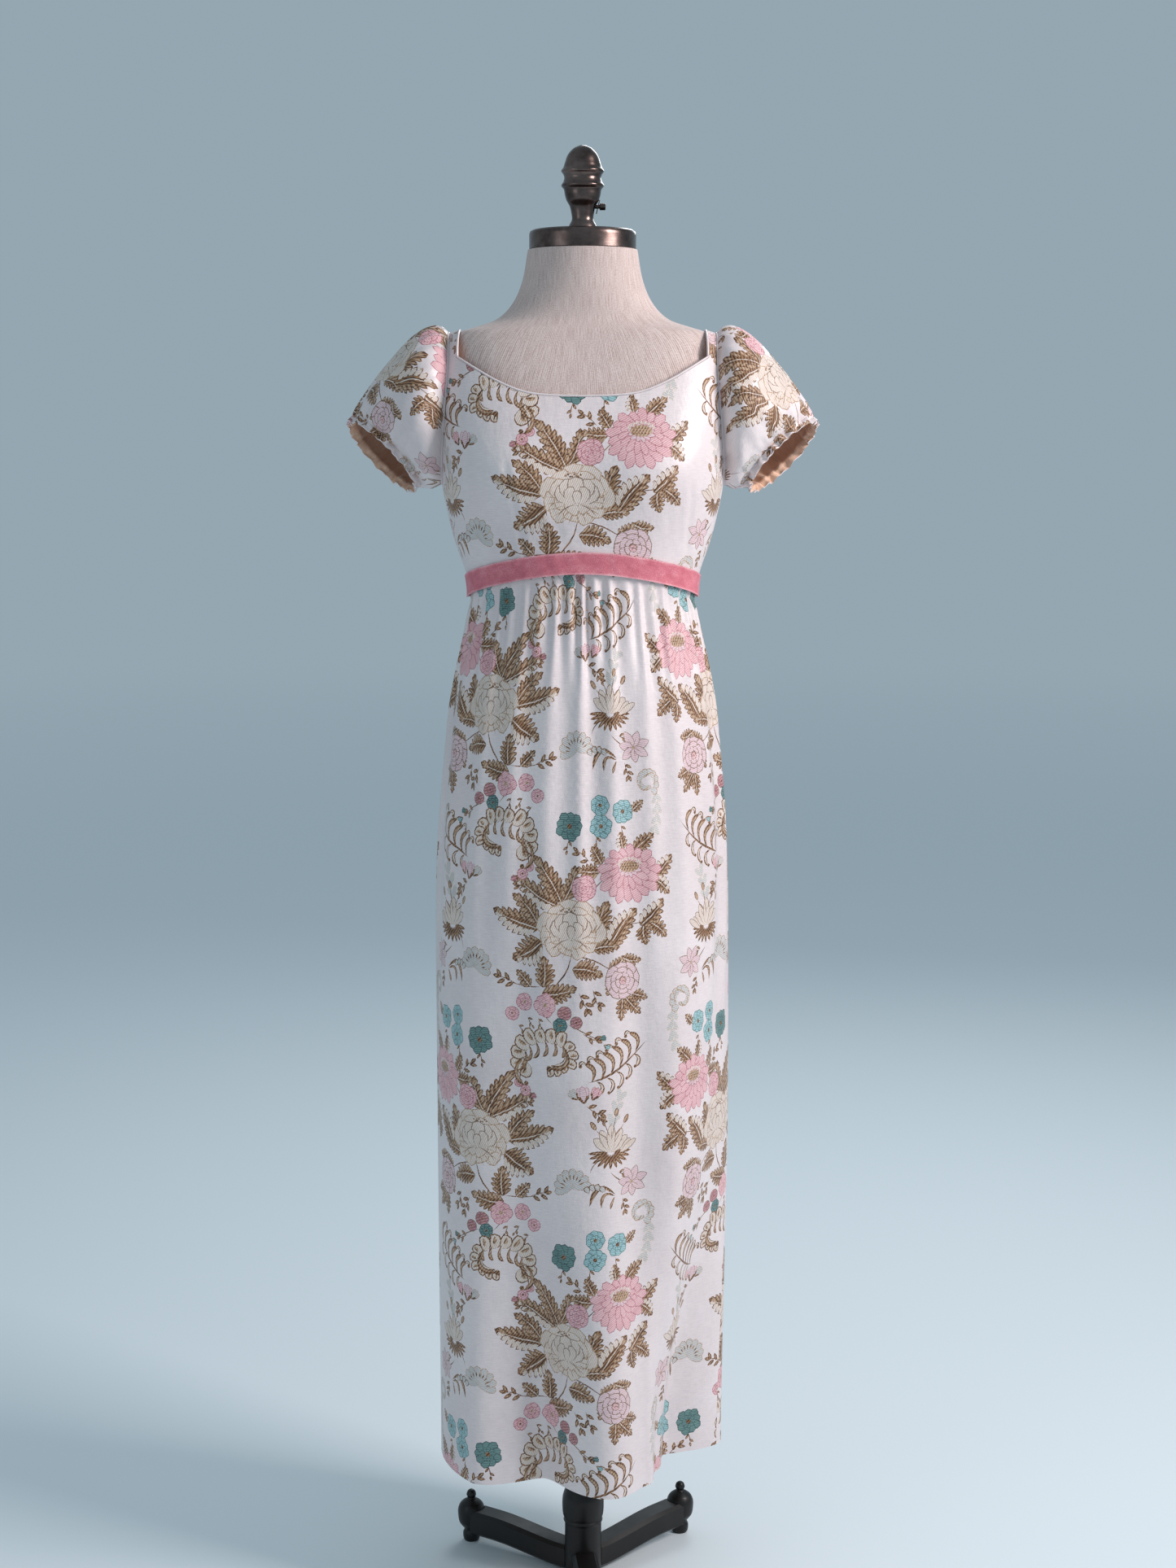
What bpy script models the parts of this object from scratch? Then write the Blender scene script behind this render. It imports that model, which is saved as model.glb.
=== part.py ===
"""Regency gown worn by a limbless dress form on a tripod stand.

Metres, +Z up, floor at z = 0, pole axis at x = y = 0, front of the gown toward -Y.
Left and right are the wearer's: left is +X.
"""
import math
from collections import namedtuple

import bmesh
import bpy
from mathutils import Vector

# Driving sizes
SEAM_GAP = 0.0003          # clearance between pieces sewn or set together
CLOTH = 0.0014             # brocade wall of skirt and sleeves
BODICE_CLOTH = 0.0015      # brocade with its lining, sewn as one
HEM_Z = 0.163

BAND_SIDE_Z = 1.192        # middle of the ribbon at the side seams and behind
BAND_RISE = 0.031          # how much higher its middle is at the centre front
BAND_WIDTH = 0.024
BAND_THICK = 0.0014
BAND_GAP = 0.0007          # the ribbon clears the flat facets under it

ARMHOLE_Z = 1.3925
ARMHOLE_HALF_HEIGHT = 0.0845
ARMHOLE_HALF_DEPTH = 0.060
STRAP_Z = 1.4475           # level where the strap leaves the bodice front and back

CUFF_CENTRE = Vector((0.2285, 0.0, 1.3385))
CUFF_HALF_LONG = 0.0535
CUFF_HALF_SHORT = 0.0430
CUFF_FRILL = 0.008
CUFF_GATHERS = 24
CUFF_GATHER_HEIGHT = 0.0014
HEAD_GATHERS = 24          # counted round the whole armhole; only the upper half rises
HEAD_GATHER_HEIGHT = 0.0016

SKIRT_GATHERS = 44
GATHER_HEIGHT = 0.0024
SKIRT_INSET = 0.0015       # skirt edge inside the ribbon
FOLD_MID_Z = 0.60
FOLD_TOP_Z = 1.02

COLUMN_RADIUS = 0.022
COLUMN_TOP_Z = 0.126
LEG_REACH = 0.166
LEG_ANGLES = {"front": -85.0, "left": 43.0, "right": 147.0}
LEG_SIZE = 0.030
LEG_BEVEL = 0.004
FOOT_RADIUS = 0.0165

ROD_RADIUS = 0.0125
ROD_BOTTOM_Z = 0.42
ROD_TOP_Z = 1.500
TUBE_RADIUS = 0.016
TORSO_BOTTOM_Z = 0.813
TUBE_TOP_Z = TORSO_BOTTOM_Z - SEAM_GAP    # the torso rests on the tube's collar

LOCK_Z = 1.616
LOCK_SHANK = 0.0022        # radius of the set screw
LOCK_KNOB = 0.0038         # radius of its round knob
LOCK_HOLE_END = 0.0066     # distance of the hole's bottom from the pole axis

# Horizontal sections of the gown: half width at the sides, depth in front, depth behind,
# and how square the outline is (2 is an ellipse).
Section = namedtuple("Section", "z half front back square")
GOWN_SECTIONS = [
    Section(0.1630, 0.1670, 0.1500, 0.1500, 2.2),
    Section(0.3000, 0.1710, 0.1500, 0.1460, 2.2),
    Section(0.6000, 0.1710, 0.1450, 0.1400, 2.2),
    Section(0.7600, 0.1690, 0.1410, 0.1350, 2.2),
    Section(0.9040, 0.1650, 0.1350, 0.1300, 2.2),
    Section(1.0190, 0.1560, 0.1270, 0.1180, 2.2),
    Section(1.0650, 0.1510, 0.1220, 0.1110, 2.2),
    Section(1.1120, 0.1440, 0.1170, 0.1020, 2.2),
    Section(1.1550, 0.1350, 0.1130, 0.0900, 2.2),
    Section(1.1800, 0.1305, 0.1105, 0.0820, 2.2),
    Section(1.2070, 0.1330, 0.1085, 0.0830, 2.2),
    Section(1.2430, 0.1450, 0.1110, 0.0870, 2.3),
    Section(1.2750, 0.1530, 0.1165, 0.0900, 2.4),
    Section(1.3080, 0.1590, 0.1190, 0.0930, 2.6),
    Section(1.3450, 0.1590, 0.1165, 0.0955, 3.0),
    Section(1.3800, 0.1580, 0.1090, 0.0970, 3.4),
    Section(1.4040, 0.1570, 0.1005, 0.0970, 3.5),
    Section(1.4225, 0.1560, 0.0930, 0.0960, 3.5),
    Section(1.4475, 0.1550, 0.0810, 0.0920, 3.4),
    Section(1.4775, 0.1500, 0.0640, 0.0800, 3.2),
]
FORM_SECTIONS = [
    Section(0.8130, 0.1360, 0.0900, 0.0980, 2.2),
    Section(0.8530, 0.1450, 0.0960, 0.1040, 2.2),
    Section(0.9040, 0.1500, 0.0980, 0.1060, 2.2),
    Section(0.9550, 0.1480, 0.0950, 0.1040, 2.2),
    Section(1.0130, 0.1420, 0.0900, 0.0950, 2.2),
    Section(1.0650, 0.1340, 0.0860, 0.0830, 2.2),
    Section(1.1120, 0.1270, 0.0850, 0.0740, 2.2),
    Section(1.1550, 0.1220, 0.0880, 0.0710, 2.2),
    Section(1.1800, 0.1205, 0.0920, 0.0710, 2.2),
    Section(1.2070, 0.1240, 0.0960, 0.0740, 2.2),
    Section(1.2430, 0.1350, 0.1020, 0.0780, 2.3),
    Section(1.2750, 0.1430, 0.1080, 0.0820, 2.4),
    Section(1.3080, 0.1480, 0.1110, 0.0850, 2.5),
    Section(1.3450, 0.1470, 0.1085, 0.0880, 2.7),
    Section(1.3800, 0.1455, 0.1020, 0.0900, 2.9),
    Section(1.4040, 0.1450, 0.0945, 0.0905, 3.0),
    Section(1.4225, 0.1455, 0.0875, 0.0895, 3.0),
    Section(1.4475, 0.1470, 0.0760, 0.0855, 3.0),
    Section(1.4640, 0.1475, 0.0690, 0.0795, 2.8),
    Section(1.4774, 0.1390, 0.0630, 0.0740, 2.5),
    Section(1.4826, 0.1230, 0.0600, 0.0700, 2.3),
    Section(1.4910, 0.0985, 0.0560, 0.0650, 2.2),
    Section(1.5080, 0.0800, 0.0540, 0.0615, 2.1),
    Section(1.5340, 0.0680, 0.0550, 0.0595, 2.0),
    Section(1.5685, 0.0615, 0.0590, 0.0590, 2.0),
]

# The bust stands out of the sections at both sides of the centre front.
BUST_ANGLE = math.radians(34)
BUST_SPREAD = math.radians(22)
BUST_Z = 1.318
BUST_HEIGHT = 0.042
BUST_OUT = {"gown": 0.013, "form": 0.011}

# Where the armhole seam lies, seen from the front.
ArmholeSide = namedtuple("ArmholeSide", "z x")
ARMHOLE_SIDE = [
    ArmholeSide(1.3080, 0.1590),
    ArmholeSide(1.3600, 0.1550),
    ArmholeSide(1.4130, 0.1505),
    ArmholeSide(1.4475, 0.1490),
    ArmholeSide(1.4775, 0.1500),
]

# Neckline, seen from the front and from behind, up to where the strap starts.
NeckPoint = namedtuple("NeckPoint", "x front_z back_z")
NECKLINE = [
    NeckPoint(0.0000, 1.4035, 1.4240),
    NeckPoint(0.0400, 1.4048, 1.4248),
    NeckPoint(0.0665, 1.4090, 1.4275),
    NeckPoint(0.0947, 1.4205, 1.4330),
    NeckPoint(0.1200, 1.4350, 1.4400),
    NeckPoint(0.1400, 1.4475, 1.4475),
]
STRAP_TOP_X = 0.1400
STRAP_TOP_Z = 1.4800

# Deep folds of the skirt: angle from the centre front toward +X and distance from the pole,
# at middle height and at the hem. Rows go round, ridge and valley in turn.
Fold = namedtuple("Fold", "mid_angle mid_radius hem_angle hem_radius")
SKIRT_FOLDS = [
    Fold(-95, 0.1710, -95, 0.1700),
    Fold(-52, 0.1700, -50, 0.1690),
    Fold(-27, 0.1470, -24, 0.1070),
    Fold(8, 0.1530, 13, 0.1580),
    Fold(25, 0.1440, 33, 0.1385),
    Fold(43, 0.1620, 48, 0.1150),
    Fold(67, 0.1590, 70, 0.1000),
    Fold(93, 0.1710, 95, 0.1670),
    Fold(125, 0.1650, 125, 0.1680),
    Fold(151, 0.1450, 151, 0.1370),
    Fold(178, 0.1560, 178, 0.1680),
    Fold(206, 0.1450, 208, 0.1380),
    Fold(235, 0.1640, 236, 0.1670),
]

# Turned profiles: height and radius, from the bottom up.
Turning = namedtuple("Turning", "z radius")
FOOT_PROFILE = [
    Turning(0.0000, 0.0085),
    Turning(0.0025, 0.0100),
    Turning(0.0100, 0.0105),
    Turning(0.0150, 0.0088),
    Turning(0.0175, 0.0105),
    Turning(0.0240, 0.0150),
    Turning(0.0320, 0.0165),
    Turning(0.0410, 0.0165),
    Turning(0.0480, 0.0135),
    Turning(0.0520, 0.0088),
    Turning(0.0545, 0.0050),
    Turning(0.0590, 0.0060),
    Turning(0.0635, 0.0045),
    Turning(0.0655, 0.0018),
]
COLUMN_PROFILE = [
    Turning(0.0060, 0.0200),
    Turning(0.0080, 0.0220),
    Turning(0.0660, 0.0220),
    Turning(0.0690, 0.0236),
    Turning(0.0720, 0.0222),
    Turning(0.0750, 0.0240),
    Turning(0.0850, 0.0250),
    Turning(0.0980, 0.0245),
    Turning(0.1080, 0.0215),
    Turning(0.1140, 0.0200),
    Turning(0.1180, 0.0215),
    Turning(0.1240, 0.0215),
    Turning(0.1260, 0.0195),
]
CAP_PROFILE = [
    Turning(1.5688, 0.0585),
    Turning(1.5693, 0.0600),
    Turning(1.5860, 0.0600),
    Turning(1.5885, 0.0590),
    Turning(1.5900, 0.0565),
]
FINIAL_PROFILE = [
    Turning(1.5903, 0.0170),
    Turning(1.5960, 0.0150),
    Turning(1.6020, 0.0122),
    Turning(1.6090, 0.0128),
    Turning(1.6165, 0.0146),
    Turning(1.6230, 0.0182),
    Turning(1.6290, 0.0200),
    Turning(1.6350, 0.0212),
    Turning(1.6390, 0.0240),
    Turning(1.6430, 0.0218),
    Turning(1.6475, 0.0206),
    Turning(1.6515, 0.0218),
    Turning(1.6550, 0.0240),
    Turning(1.6590, 0.0216),
    Turning(1.6630, 0.0203),
    Turning(1.6730, 0.0165),
    Turning(1.6800, 0.0100),
    Turning(1.6830, 0.0035),
]

FINISHES = {
    "brocade": ((0.80, 0.76, 0.72), 0.55, 0.0),
    "binding": ((0.84, 0.80, 0.76), 0.60, 0.0),
    "velvet": ((0.70, 0.22, 0.30), 0.85, 0.0),
    "linen": ((0.62, 0.52, 0.47), 0.90, 0.0),
    "dark_metal": ((0.10, 0.08, 0.075), 0.28, 1.0),
    "steel": ((0.45, 0.45, 0.46), 0.35, 1.0),
    "dark_wood": ((0.022, 0.016, 0.014), 0.40, 0.0),
}


def clear_scene():
    for scene_object in list(bpy.data.objects):
        bpy.data.objects.remove(scene_object, do_unlink=True)


def material(name):
    colour, roughness, metallic = FINISHES[name]
    found = bpy.data.materials.get(name)
    if found:
        return found
    made = bpy.data.materials.new(name)
    made.use_nodes = True
    shader = made.node_tree.nodes["Principled BSDF"]
    shader.inputs["Base Color"].default_value = (*colour, 1.0)
    shader.inputs["Roughness"].default_value = roughness
    shader.inputs["Metallic"].default_value = metallic
    return made


def world_place(empty):
    """Where an empty stands in the world."""
    place = empty.location.copy()
    while empty.parent:
        empty = empty.parent
        place += empty.location
    return place


def new_object(name, points, faces, finish, parent, sharp_angle=40):
    """A mesh object whose origin is its parent's; points are given in world coordinates."""
    origin = world_place(parent)
    mesh = bpy.data.meshes.new(name)
    mesh.from_pydata([tuple(Vector(point) - origin) for point in points], [], faces)
    mesh.materials.append(material(finish))
    mesh.update()
    tidy = bmesh.new()
    tidy.from_mesh(mesh)
    bmesh.ops.recalc_face_normals(tidy, faces=tidy.faces)
    tidy.to_mesh(mesh)
    tidy.free()
    mesh.shade_smooth()
    mesh.set_sharp_from_angle(angle=math.radians(sharp_angle))
    made = bpy.data.objects.new(name, mesh)
    bpy.context.scene.collection.objects.link(made)
    made.parent = parent
    return made


def new_empty(name, place, parent=None):
    """An empty at a place in world coordinates; a moving one lies on its joint's axis."""
    made = bpy.data.objects.new(name, None)
    bpy.context.scene.collection.objects.link(made)
    made.location = place
    if parent:
        made.location -= world_place(parent)
        made.parent = parent
    return made


# Curves through the tables

def smoothstep(value):
    clamped = min(1.0, max(0.0, value))
    return clamped * clamped * (3 - 2 * clamped)


def through(rows, key, column, value):
    """Smooth curve through one column of a table, read at a value of its key column."""
    keys = [getattr(row, key) for row in rows]
    heights = [getattr(row, column) for row in rows]
    if value <= keys[0]:
        return heights[0]
    if value >= keys[-1]:
        return heights[-1]
    index = max(i for i in range(len(keys) - 1) if keys[i] <= value)

    def slope(i):
        low = max(i - 1, 0)
        high = min(i + 1, len(keys) - 1)
        return (heights[high] - heights[low]) / (keys[high] - keys[low])

    span = keys[index + 1] - keys[index]
    t = (value - keys[index]) / span
    start = (2 * t ** 3 - 3 * t ** 2 + 1) * heights[index]
    end = (-2 * t ** 3 + 3 * t ** 2) * heights[index + 1]
    leave = (t ** 3 - 2 * t ** 2 + t) * span * slope(index)
    arrive = (t ** 3 - t ** 2) * span * slope(index + 1)
    return start + end + leave + arrive


def section_radius(rows, angle, z, bust_out):
    """Distance from the pole axis to the outline at one height; angle 0 is the front."""
    half = through(rows, "z", "half", z)
    side = "front" if math.cos(angle) > 0 else "back"
    depth = through(rows, "z", side, z)
    power = through(rows, "z", "square", z)
    across = abs(math.sin(angle)) / half
    along = abs(math.cos(angle)) / depth
    radius = (across ** power + along ** power) ** (-1 / power)
    turn = math.remainder(angle, 2 * math.pi)
    height = math.exp(-((z - BUST_Z) / BUST_HEIGHT) ** 2)
    for centre in (-BUST_ANGLE, BUST_ANGLE):
        radius += bust_out * height * math.exp(-((turn - centre) / BUST_SPREAD) ** 2)
    return radius


def polar(radius, angle, z):
    return Vector((radius * math.sin(angle), -radius * math.cos(angle), z))


def gown_radius(angle, z):
    return section_radius(GOWN_SECTIONS, angle, z, BUST_OUT["gown"])


def gown_point(angle, z):
    return polar(gown_radius(angle, z), angle, z)


def band_middle(angle):
    return BAND_SIDE_Z + BAND_RISE * max(0.0, math.cos(angle)) ** 1.3


# Cloth walls

class Panel:
    """One cut piece: its outer surface as points and faces."""

    def __init__(self, name):
        self.name = name
        self.points = []
        self.faces = []

    def add_row(self, points):
        start = len(self.points)
        self.points.extend(points)
        return list(range(start, start + len(points)))

    def split(self, a, b, c, d):
        """Two triangles along the shorter diagonal, so that a wall's two sides bend alike."""
        if (self.points[a] - self.points[c]).length < (self.points[b] - self.points[d]).length:
            self.faces.append((a, b, c))
            self.faces.append((a, c, d))
        else:
            self.faces.append((a, b, d))
            self.faces.append((b, c, d))

    def join(self, lower, upper):
        """Faces between two rows; the upper one may have half as many or twice as many steps."""
        if len(lower) == len(upper):
            for i in range(len(lower) - 1):
                self.split(lower[i], lower[i + 1], upper[i + 1], upper[i])
            return
        for i in range(len(lower) - 1):
            low, next_low = lower[i], lower[i + 1]
            first, middle, last = upper[2 * i], upper[2 * i + 1], upper[2 * i + 2]
            self.faces.append((low, middle, first))
            self.faces.append((low, next_low, middle))
            self.faces.append((next_low, last, middle))


def place_key(point):
    return tuple(round(value * 20000) for value in point)


def outward_normals(panels):
    """Unit normals at each place, shared by all panels that meet there."""
    sums = {}
    for panel in panels:
        for face in panel.faces:
            corners = [panel.points[i] for i in face]
            normal = Vector((0, 0, 0))
            for i in range(1, len(corners) - 1):
                normal += (corners[i] - corners[0]).cross(corners[i + 1] - corners[0])
            for corner in corners:
                key = place_key(corner)
                sums[key] = sums.get(key, Vector((0, 0, 0))) + normal
    return {key: total.normalized() for key, total in sums.items()}


def border_edges(faces):
    """Edges used by one face only, in the direction of that face."""
    used = {(face[i], face[(i + 1) % len(face)]) for face in faces for i in range(len(face))}
    return [edge for edge in used if (edge[1], edge[0]) not in used]


def cloth_solids(panels, thickness, finish, parent, extra_seams=()):
    """Closed walls for panels that share seams: outer face, inner face and edges."""
    normals = outward_normals(panels)
    owners = {}
    for panel in panels:
        for point in panel.points:
            owners.setdefault(place_key(point), set()).add(panel.name)
    for panel in panels:
        borders = border_edges(panel.faces)
        shifts = {}
        for start, end in borders:
            ends = [place_key(panel.points[start]), place_key(panel.points[end])]
            shared = all(len(owners[key]) > 1 or key in extra_seams for key in ends)
            if not shared:
                continue
            along = panel.points[end] - panel.points[start]
            for index, key in ((start, ends[0]), (end, ends[1])):
                inward = normals[key].cross(along).normalized()
                shifts[index] = shifts.get(index, Vector((0, 0, 0))) + inward
        outer = list(panel.points)
        for index, shift in shifts.items():
            outer[index] = outer[index] + shift.normalized() * SEAM_GAP / 2
        count = len(outer)
        inner = []
        for index, point in enumerate(outer):
            inner.append(point - normals[place_key(panel.points[index])] * thickness)
        faces = list(panel.faces)
        faces += [tuple(count + i for i in reversed(face)) for face in panel.faces]
        faces += [(end, start, count + start, count + end) for start, end in borders]
        new_object(panel.name, outer + inner, faces, finish, parent)
    return normals


# Bodice

FRONT_COLUMNS = 18
SIDE_SHARES = (0.0, 0.115, 0.41, 0.705, 1.0)   # rows of the side seam, waist to underarm
SEAM_ROWS = len(SIDE_SHARES) - 1
ARMHOLE_ROWS = 8           # from the underarm to the strap
BODICE_ROWS = SEAM_ROWS + ARMHOLE_ROWS
FIRST_ROW = 0.075          # share of the centre height that the ribbon's upper half covers
STRAP_ROWS = 4


def armhole_point(turn):
    """Armhole seam; turn is 0 at the underarm and pi at the shoulder, front at -Y."""
    z = ARMHOLE_Z - ARMHOLE_HALF_HEIGHT * math.cos(turn)
    x = through(ARMHOLE_SIDE, "z", "x", z)
    return Vector((x, -ARMHOLE_HALF_DEPTH * math.sin(turn), z))


STRAP_TURN = math.acos((ARMHOLE_Z - STRAP_Z) / ARMHOLE_HALF_HEIGHT)


def angle_of(point):
    return math.atan2(point.x, -point.y)


def side_border(row):
    """Front side edge of the bodice block at a row: angle and height."""
    if row <= SEAM_ROWS:
        low = band_middle(math.pi / 2) + SEAM_GAP
        high = armhole_point(0).z
        return math.pi / 2, low + (high - low) * SIDE_SHARES[row]
    point = armhole_point(STRAP_TURN * (row - SEAM_ROWS) / ARMHOLE_ROWS)
    return angle_of(point), point.z


def neckline_border(x, front):
    """Angle and height of the neckline at a distance from the centre."""
    column = "front_z" if front else "back_z"
    z = through(NECKLINE, "x", column, abs(x))
    low, high = 0.0, math.pi / 2
    for _ in range(40):
        middle = (low + high) / 2
        angle = middle if front else math.pi - middle
        if gown_radius(angle, z) * math.sin(middle) < abs(x):
            low = middle
        else:
            high = middle
    return math.copysign((low + high) / 2, x), z


def bodice_block(front, columns, sides):
    """Grid between the waist seam, the side edges and the neckline, worked in angle and height.

    sides gives the range of columns, from -1 (right side seam) to 1 (left side seam).
    """
    flip = 1 if front else -1
    low_turn, low_z = side_border(0)
    high_turn, high_z = side_border(BODICE_ROWS)
    grid = []
    for row in range(BODICE_ROWS + 1):
        share = 0.0
        if row:
            share = FIRST_ROW + (1 - FIRST_ROW) * (row - 1) / (BODICE_ROWS - 1)
        edge_turn, edge_z = side_border(row)
        line = []
        for column in range(columns + 1):
            across = sides[0] + (sides[1] - sides[0]) * column / columns
            side = abs(across)
            bottom_turn = side * math.pi / 2
            bottom_z = band_middle(bottom_turn if front else math.pi) + SEAM_GAP
            neck_share = side / (1 - 2 / FRONT_COLUMNS)
            top_turn, top_z = high_turn, high_z
            if neck_share < 1.01:
                top_turn, top_z = neckline_border(neck_share * NECKLINE[-1].x, front)
            turn = bottom_turn + (top_turn - bottom_turn) * share
            turn += side * (edge_turn - low_turn - (high_turn - low_turn) * share)
            z = bottom_z + (top_z - bottom_z) * share
            z += side * (edge_z - low_z - (high_z - low_z) * share)
            point = gown_point(turn if front else math.pi - turn, z)
            if side == 1.0 and row > SEAM_ROWS:
                edge = armhole_point(STRAP_TURN * (row - SEAM_ROWS) / ARMHOLE_ROWS)
                point = Vector((edge.x, edge.y * flip, edge.z))
            point.x = math.copysign(point.x, across) if across else 0.0
            line.append(point)
        grid.append(line)
    return grid


def strap_rows(front, side):
    """Rows of two points, from the strap's foot over the shoulder: neckline edge and armhole edge."""
    flip = 1 if front else -1
    foot_turn, foot_z = neckline_border(NECKLINE[-1].x, front)
    foot = gown_point(foot_turn if front else math.pi - foot_turn, foot_z)
    rows = []
    for row in range(STRAP_ROWS + 1):
        share = row / STRAP_ROWS
        edge = armhole_point(STRAP_TURN + (math.pi - STRAP_TURN) * share)
        rise = math.sin(share * math.pi / 2)
        neck = Vector((
            foot.x + (STRAP_TOP_X - foot.x) * share,
            foot.y * math.cos(share * math.pi / 2),
            foot.z + (STRAP_TOP_Z - foot.z) * rise,
        ))
        rows.append((
            Vector((neck.x * side, neck.y, neck.z)),
            Vector((edge.x * side, edge.y * flip, edge.z)),
        ))
    return rows


def fill_bodice_panel(panel, front, columns, sides):
    """Block and straps of one bodice panel; returns its neckline points."""
    grid = bodice_block(front, columns, sides)
    if not front:
        grid = [list(reversed(line)) for line in grid]
    indices = [panel.add_row(line) for line in grid]
    for lower, upper in zip(indices, indices[1:]):
        panel.join(lower, upper)
    top = indices[-1]
    neckline = [panel.points[i] for i in top]
    straps = {}
    for side in (-1, 1):
        reaches = any(abs(value - side) < 1e-6 for value in sides)
        if not reaches:
            continue
        at_end = (side > 0) == front
        outer_index = top[-1] if at_end else top[0]
        inner_index = top[-2] if at_end else top[1]
        rows = strap_rows(front, side)
        straps[side] = [row[0] for row in rows]
        lower = [inner_index, outer_index] if at_end else [outer_index, inner_index]
        for neck, edge in rows[1:]:
            pair = [neck, edge] if at_end else [edge, neck]
            upper = panel.add_row(pair)
            panel.join(lower, upper)
            lower = upper
        neckline = neckline[:-1] if at_end else neckline[1:]
    return neckline, straps


def build_bodice(parent):
    front = Panel("bodice_front")
    back_left = Panel("bodice_back_left")
    back_right = Panel("bodice_back_right")
    front_neck, front_straps = fill_bodice_panel(front, True, FRONT_COLUMNS, (-1, 1))
    half = FRONT_COLUMNS // 2
    left_neck, left_straps = fill_bodice_panel(back_left, False, half, (0, 1))
    right_neck, right_straps = fill_bodice_panel(back_right, False, half, (-1, 0))
    panels = [front, back_left, back_right]
    normals = cloth_solids(panels, BODICE_CLOTH, "brocade", parent)
    loop = list(reversed(left_neck))
    loop += left_straps[1][1:]
    loop += list(reversed(front_straps[1]))[1:]
    loop += list(reversed(front_neck))[1:-1]
    loop += front_straps[-1]
    loop += list(reversed(right_straps[-1]))[1:]
    loop += list(reversed(right_neck))[1:]
    return loop, normals


def build_neckline_binding(loop, normals, parent):
    """Narrow folded edge that sits on the neckline, open at the centre back."""
    height = 0.0030
    half_thick = 0.0013
    points = []
    last = len(loop) - 1
    for index, place in enumerate(loop):
        before = loop[max(index - 1, 0)]
        after = loop[min(index + 1, last)]
        along = (after - before).normalized()
        normal = normals[place_key(place)]
        up = along.cross(normal).normalized()
        if up.z < 0 and abs(place.y) > 0.01:
            up = -up
        middle = place - normal * BODICE_CLOTH / 2
        if index in (0, last):
            middle = middle + along * SEAM_GAP * (0.5 if index == 0 else -0.5)
        for lift, side in ((0, 1), (height, 1), (height, -1), (0, -1)):
            points.append(middle + up * (SEAM_GAP + lift) + normal * half_thick * side)
    faces = []
    for index in range(last):
        base = 4 * index
        for corner in range(4):
            following = (corner + 1) % 4
            faces.append((base + corner, base + following, base + 4 + following, base + 4 + corner))
    faces.append((3, 2, 1, 0))
    faces.append(tuple(4 * last + corner for corner in range(4)))
    new_object("neckline_binding", points, faces, "binding", parent)


def build_band(parent):
    """Velvet ribbon over the high waist seam, its ends meeting at the centre back."""
    steps = 2 * FRONT_COLUMNS
    panel = Panel("waist_band")
    rows = []
    for share in (0.0, 0.5, 1.0):
        line = []
        for step in range(steps + 1):
            angle = -math.pi + 2 * math.pi * step / steps
            z = band_middle(angle) + BAND_WIDTH * (share - 0.5)
            line.append(polar(gown_radius(angle, z) + BAND_GAP + BAND_THICK, angle, z))
        rows.append(panel.add_row(line))
    for lower, upper in zip(rows, rows[1:]):
        panel.join(lower, upper)
    ends = {place_key(panel.points[row[end]]) for row in rows for end in (0, -1)}
    cloth_solids([panel], BAND_THICK, "velvet", parent, ends)


# Skirt

SKIRT_COLUMNS = 66         # columns of one half at the gathers; half as many lower down
SKIRT_FINE_DROPS = (0.0, 0.012, 0.026, 0.052, 0.095)
SKIRT_LEVELS = (1.030, 0.920, 0.780, 0.640, 0.480, 0.310, HEM_Z)


def fold_radius(angle, z):
    """Distance of the deep folds from the pole, by height and angle."""
    share = smoothstep((FOLD_MID_Z - z) / (FOLD_MID_Z - HEM_Z))
    rows = []
    for fold in SKIRT_FOLDS:
        turn = fold.mid_angle + (fold.hem_angle - fold.mid_angle) * share
        radius = fold.mid_radius + (fold.hem_radius - fold.mid_radius) * share
        rows.append((math.radians(turn), radius))
    rows.append((rows[0][0] + 2 * math.pi, rows[0][1]))
    turn = angle
    while turn < rows[0][0]:
        turn += 2 * math.pi
    while turn > rows[-1][0]:
        turn -= 2 * math.pi
    for (start, low), (end, high) in zip(rows, rows[1:]):
        if start <= turn <= end:
            return low + (high - low) * smoothstep((turn - start) / (end - start))
    return rows[0][1]


def gather_height(angle, z):
    """Small gathers below the ribbon, uneven, that merge and fade down the skirt."""
    drop = band_middle(angle) - z
    uneven = 1 + 0.30 * math.sin(5 * angle + 1) + 0.20 * math.sin(11 * angle)
    grow = smoothstep(drop / 0.030)
    fade = 1 - smoothstep((drop - 0.05) / 0.12)
    small = GATHER_HEIGHT * grow * fade * uneven * math.cos(SKIRT_GATHERS * angle)
    merged = smoothstep((drop - 0.05) / 0.10) * (1 - smoothstep((drop - 0.25) / 0.35))
    wide = 0.0022 * merged * uneven * math.cos(SKIRT_GATHERS / 2 * angle + 0.6)
    return small + wide


def skirt_point(angle, z):
    share = smoothstep((FOLD_TOP_Z - z) / (FOLD_TOP_Z - FOLD_MID_Z))
    radius = gown_radius(angle, z) * (1 - share) + fold_radius(angle, z) * share
    drop = band_middle(angle) - z
    inset = SKIRT_INSET + GATHER_HEIGHT * smoothstep(drop / 0.02)
    inset *= 1 - smoothstep((drop - 0.05) / 0.10)
    return polar(radius - inset + gather_height(angle, z), angle, z)


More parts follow.
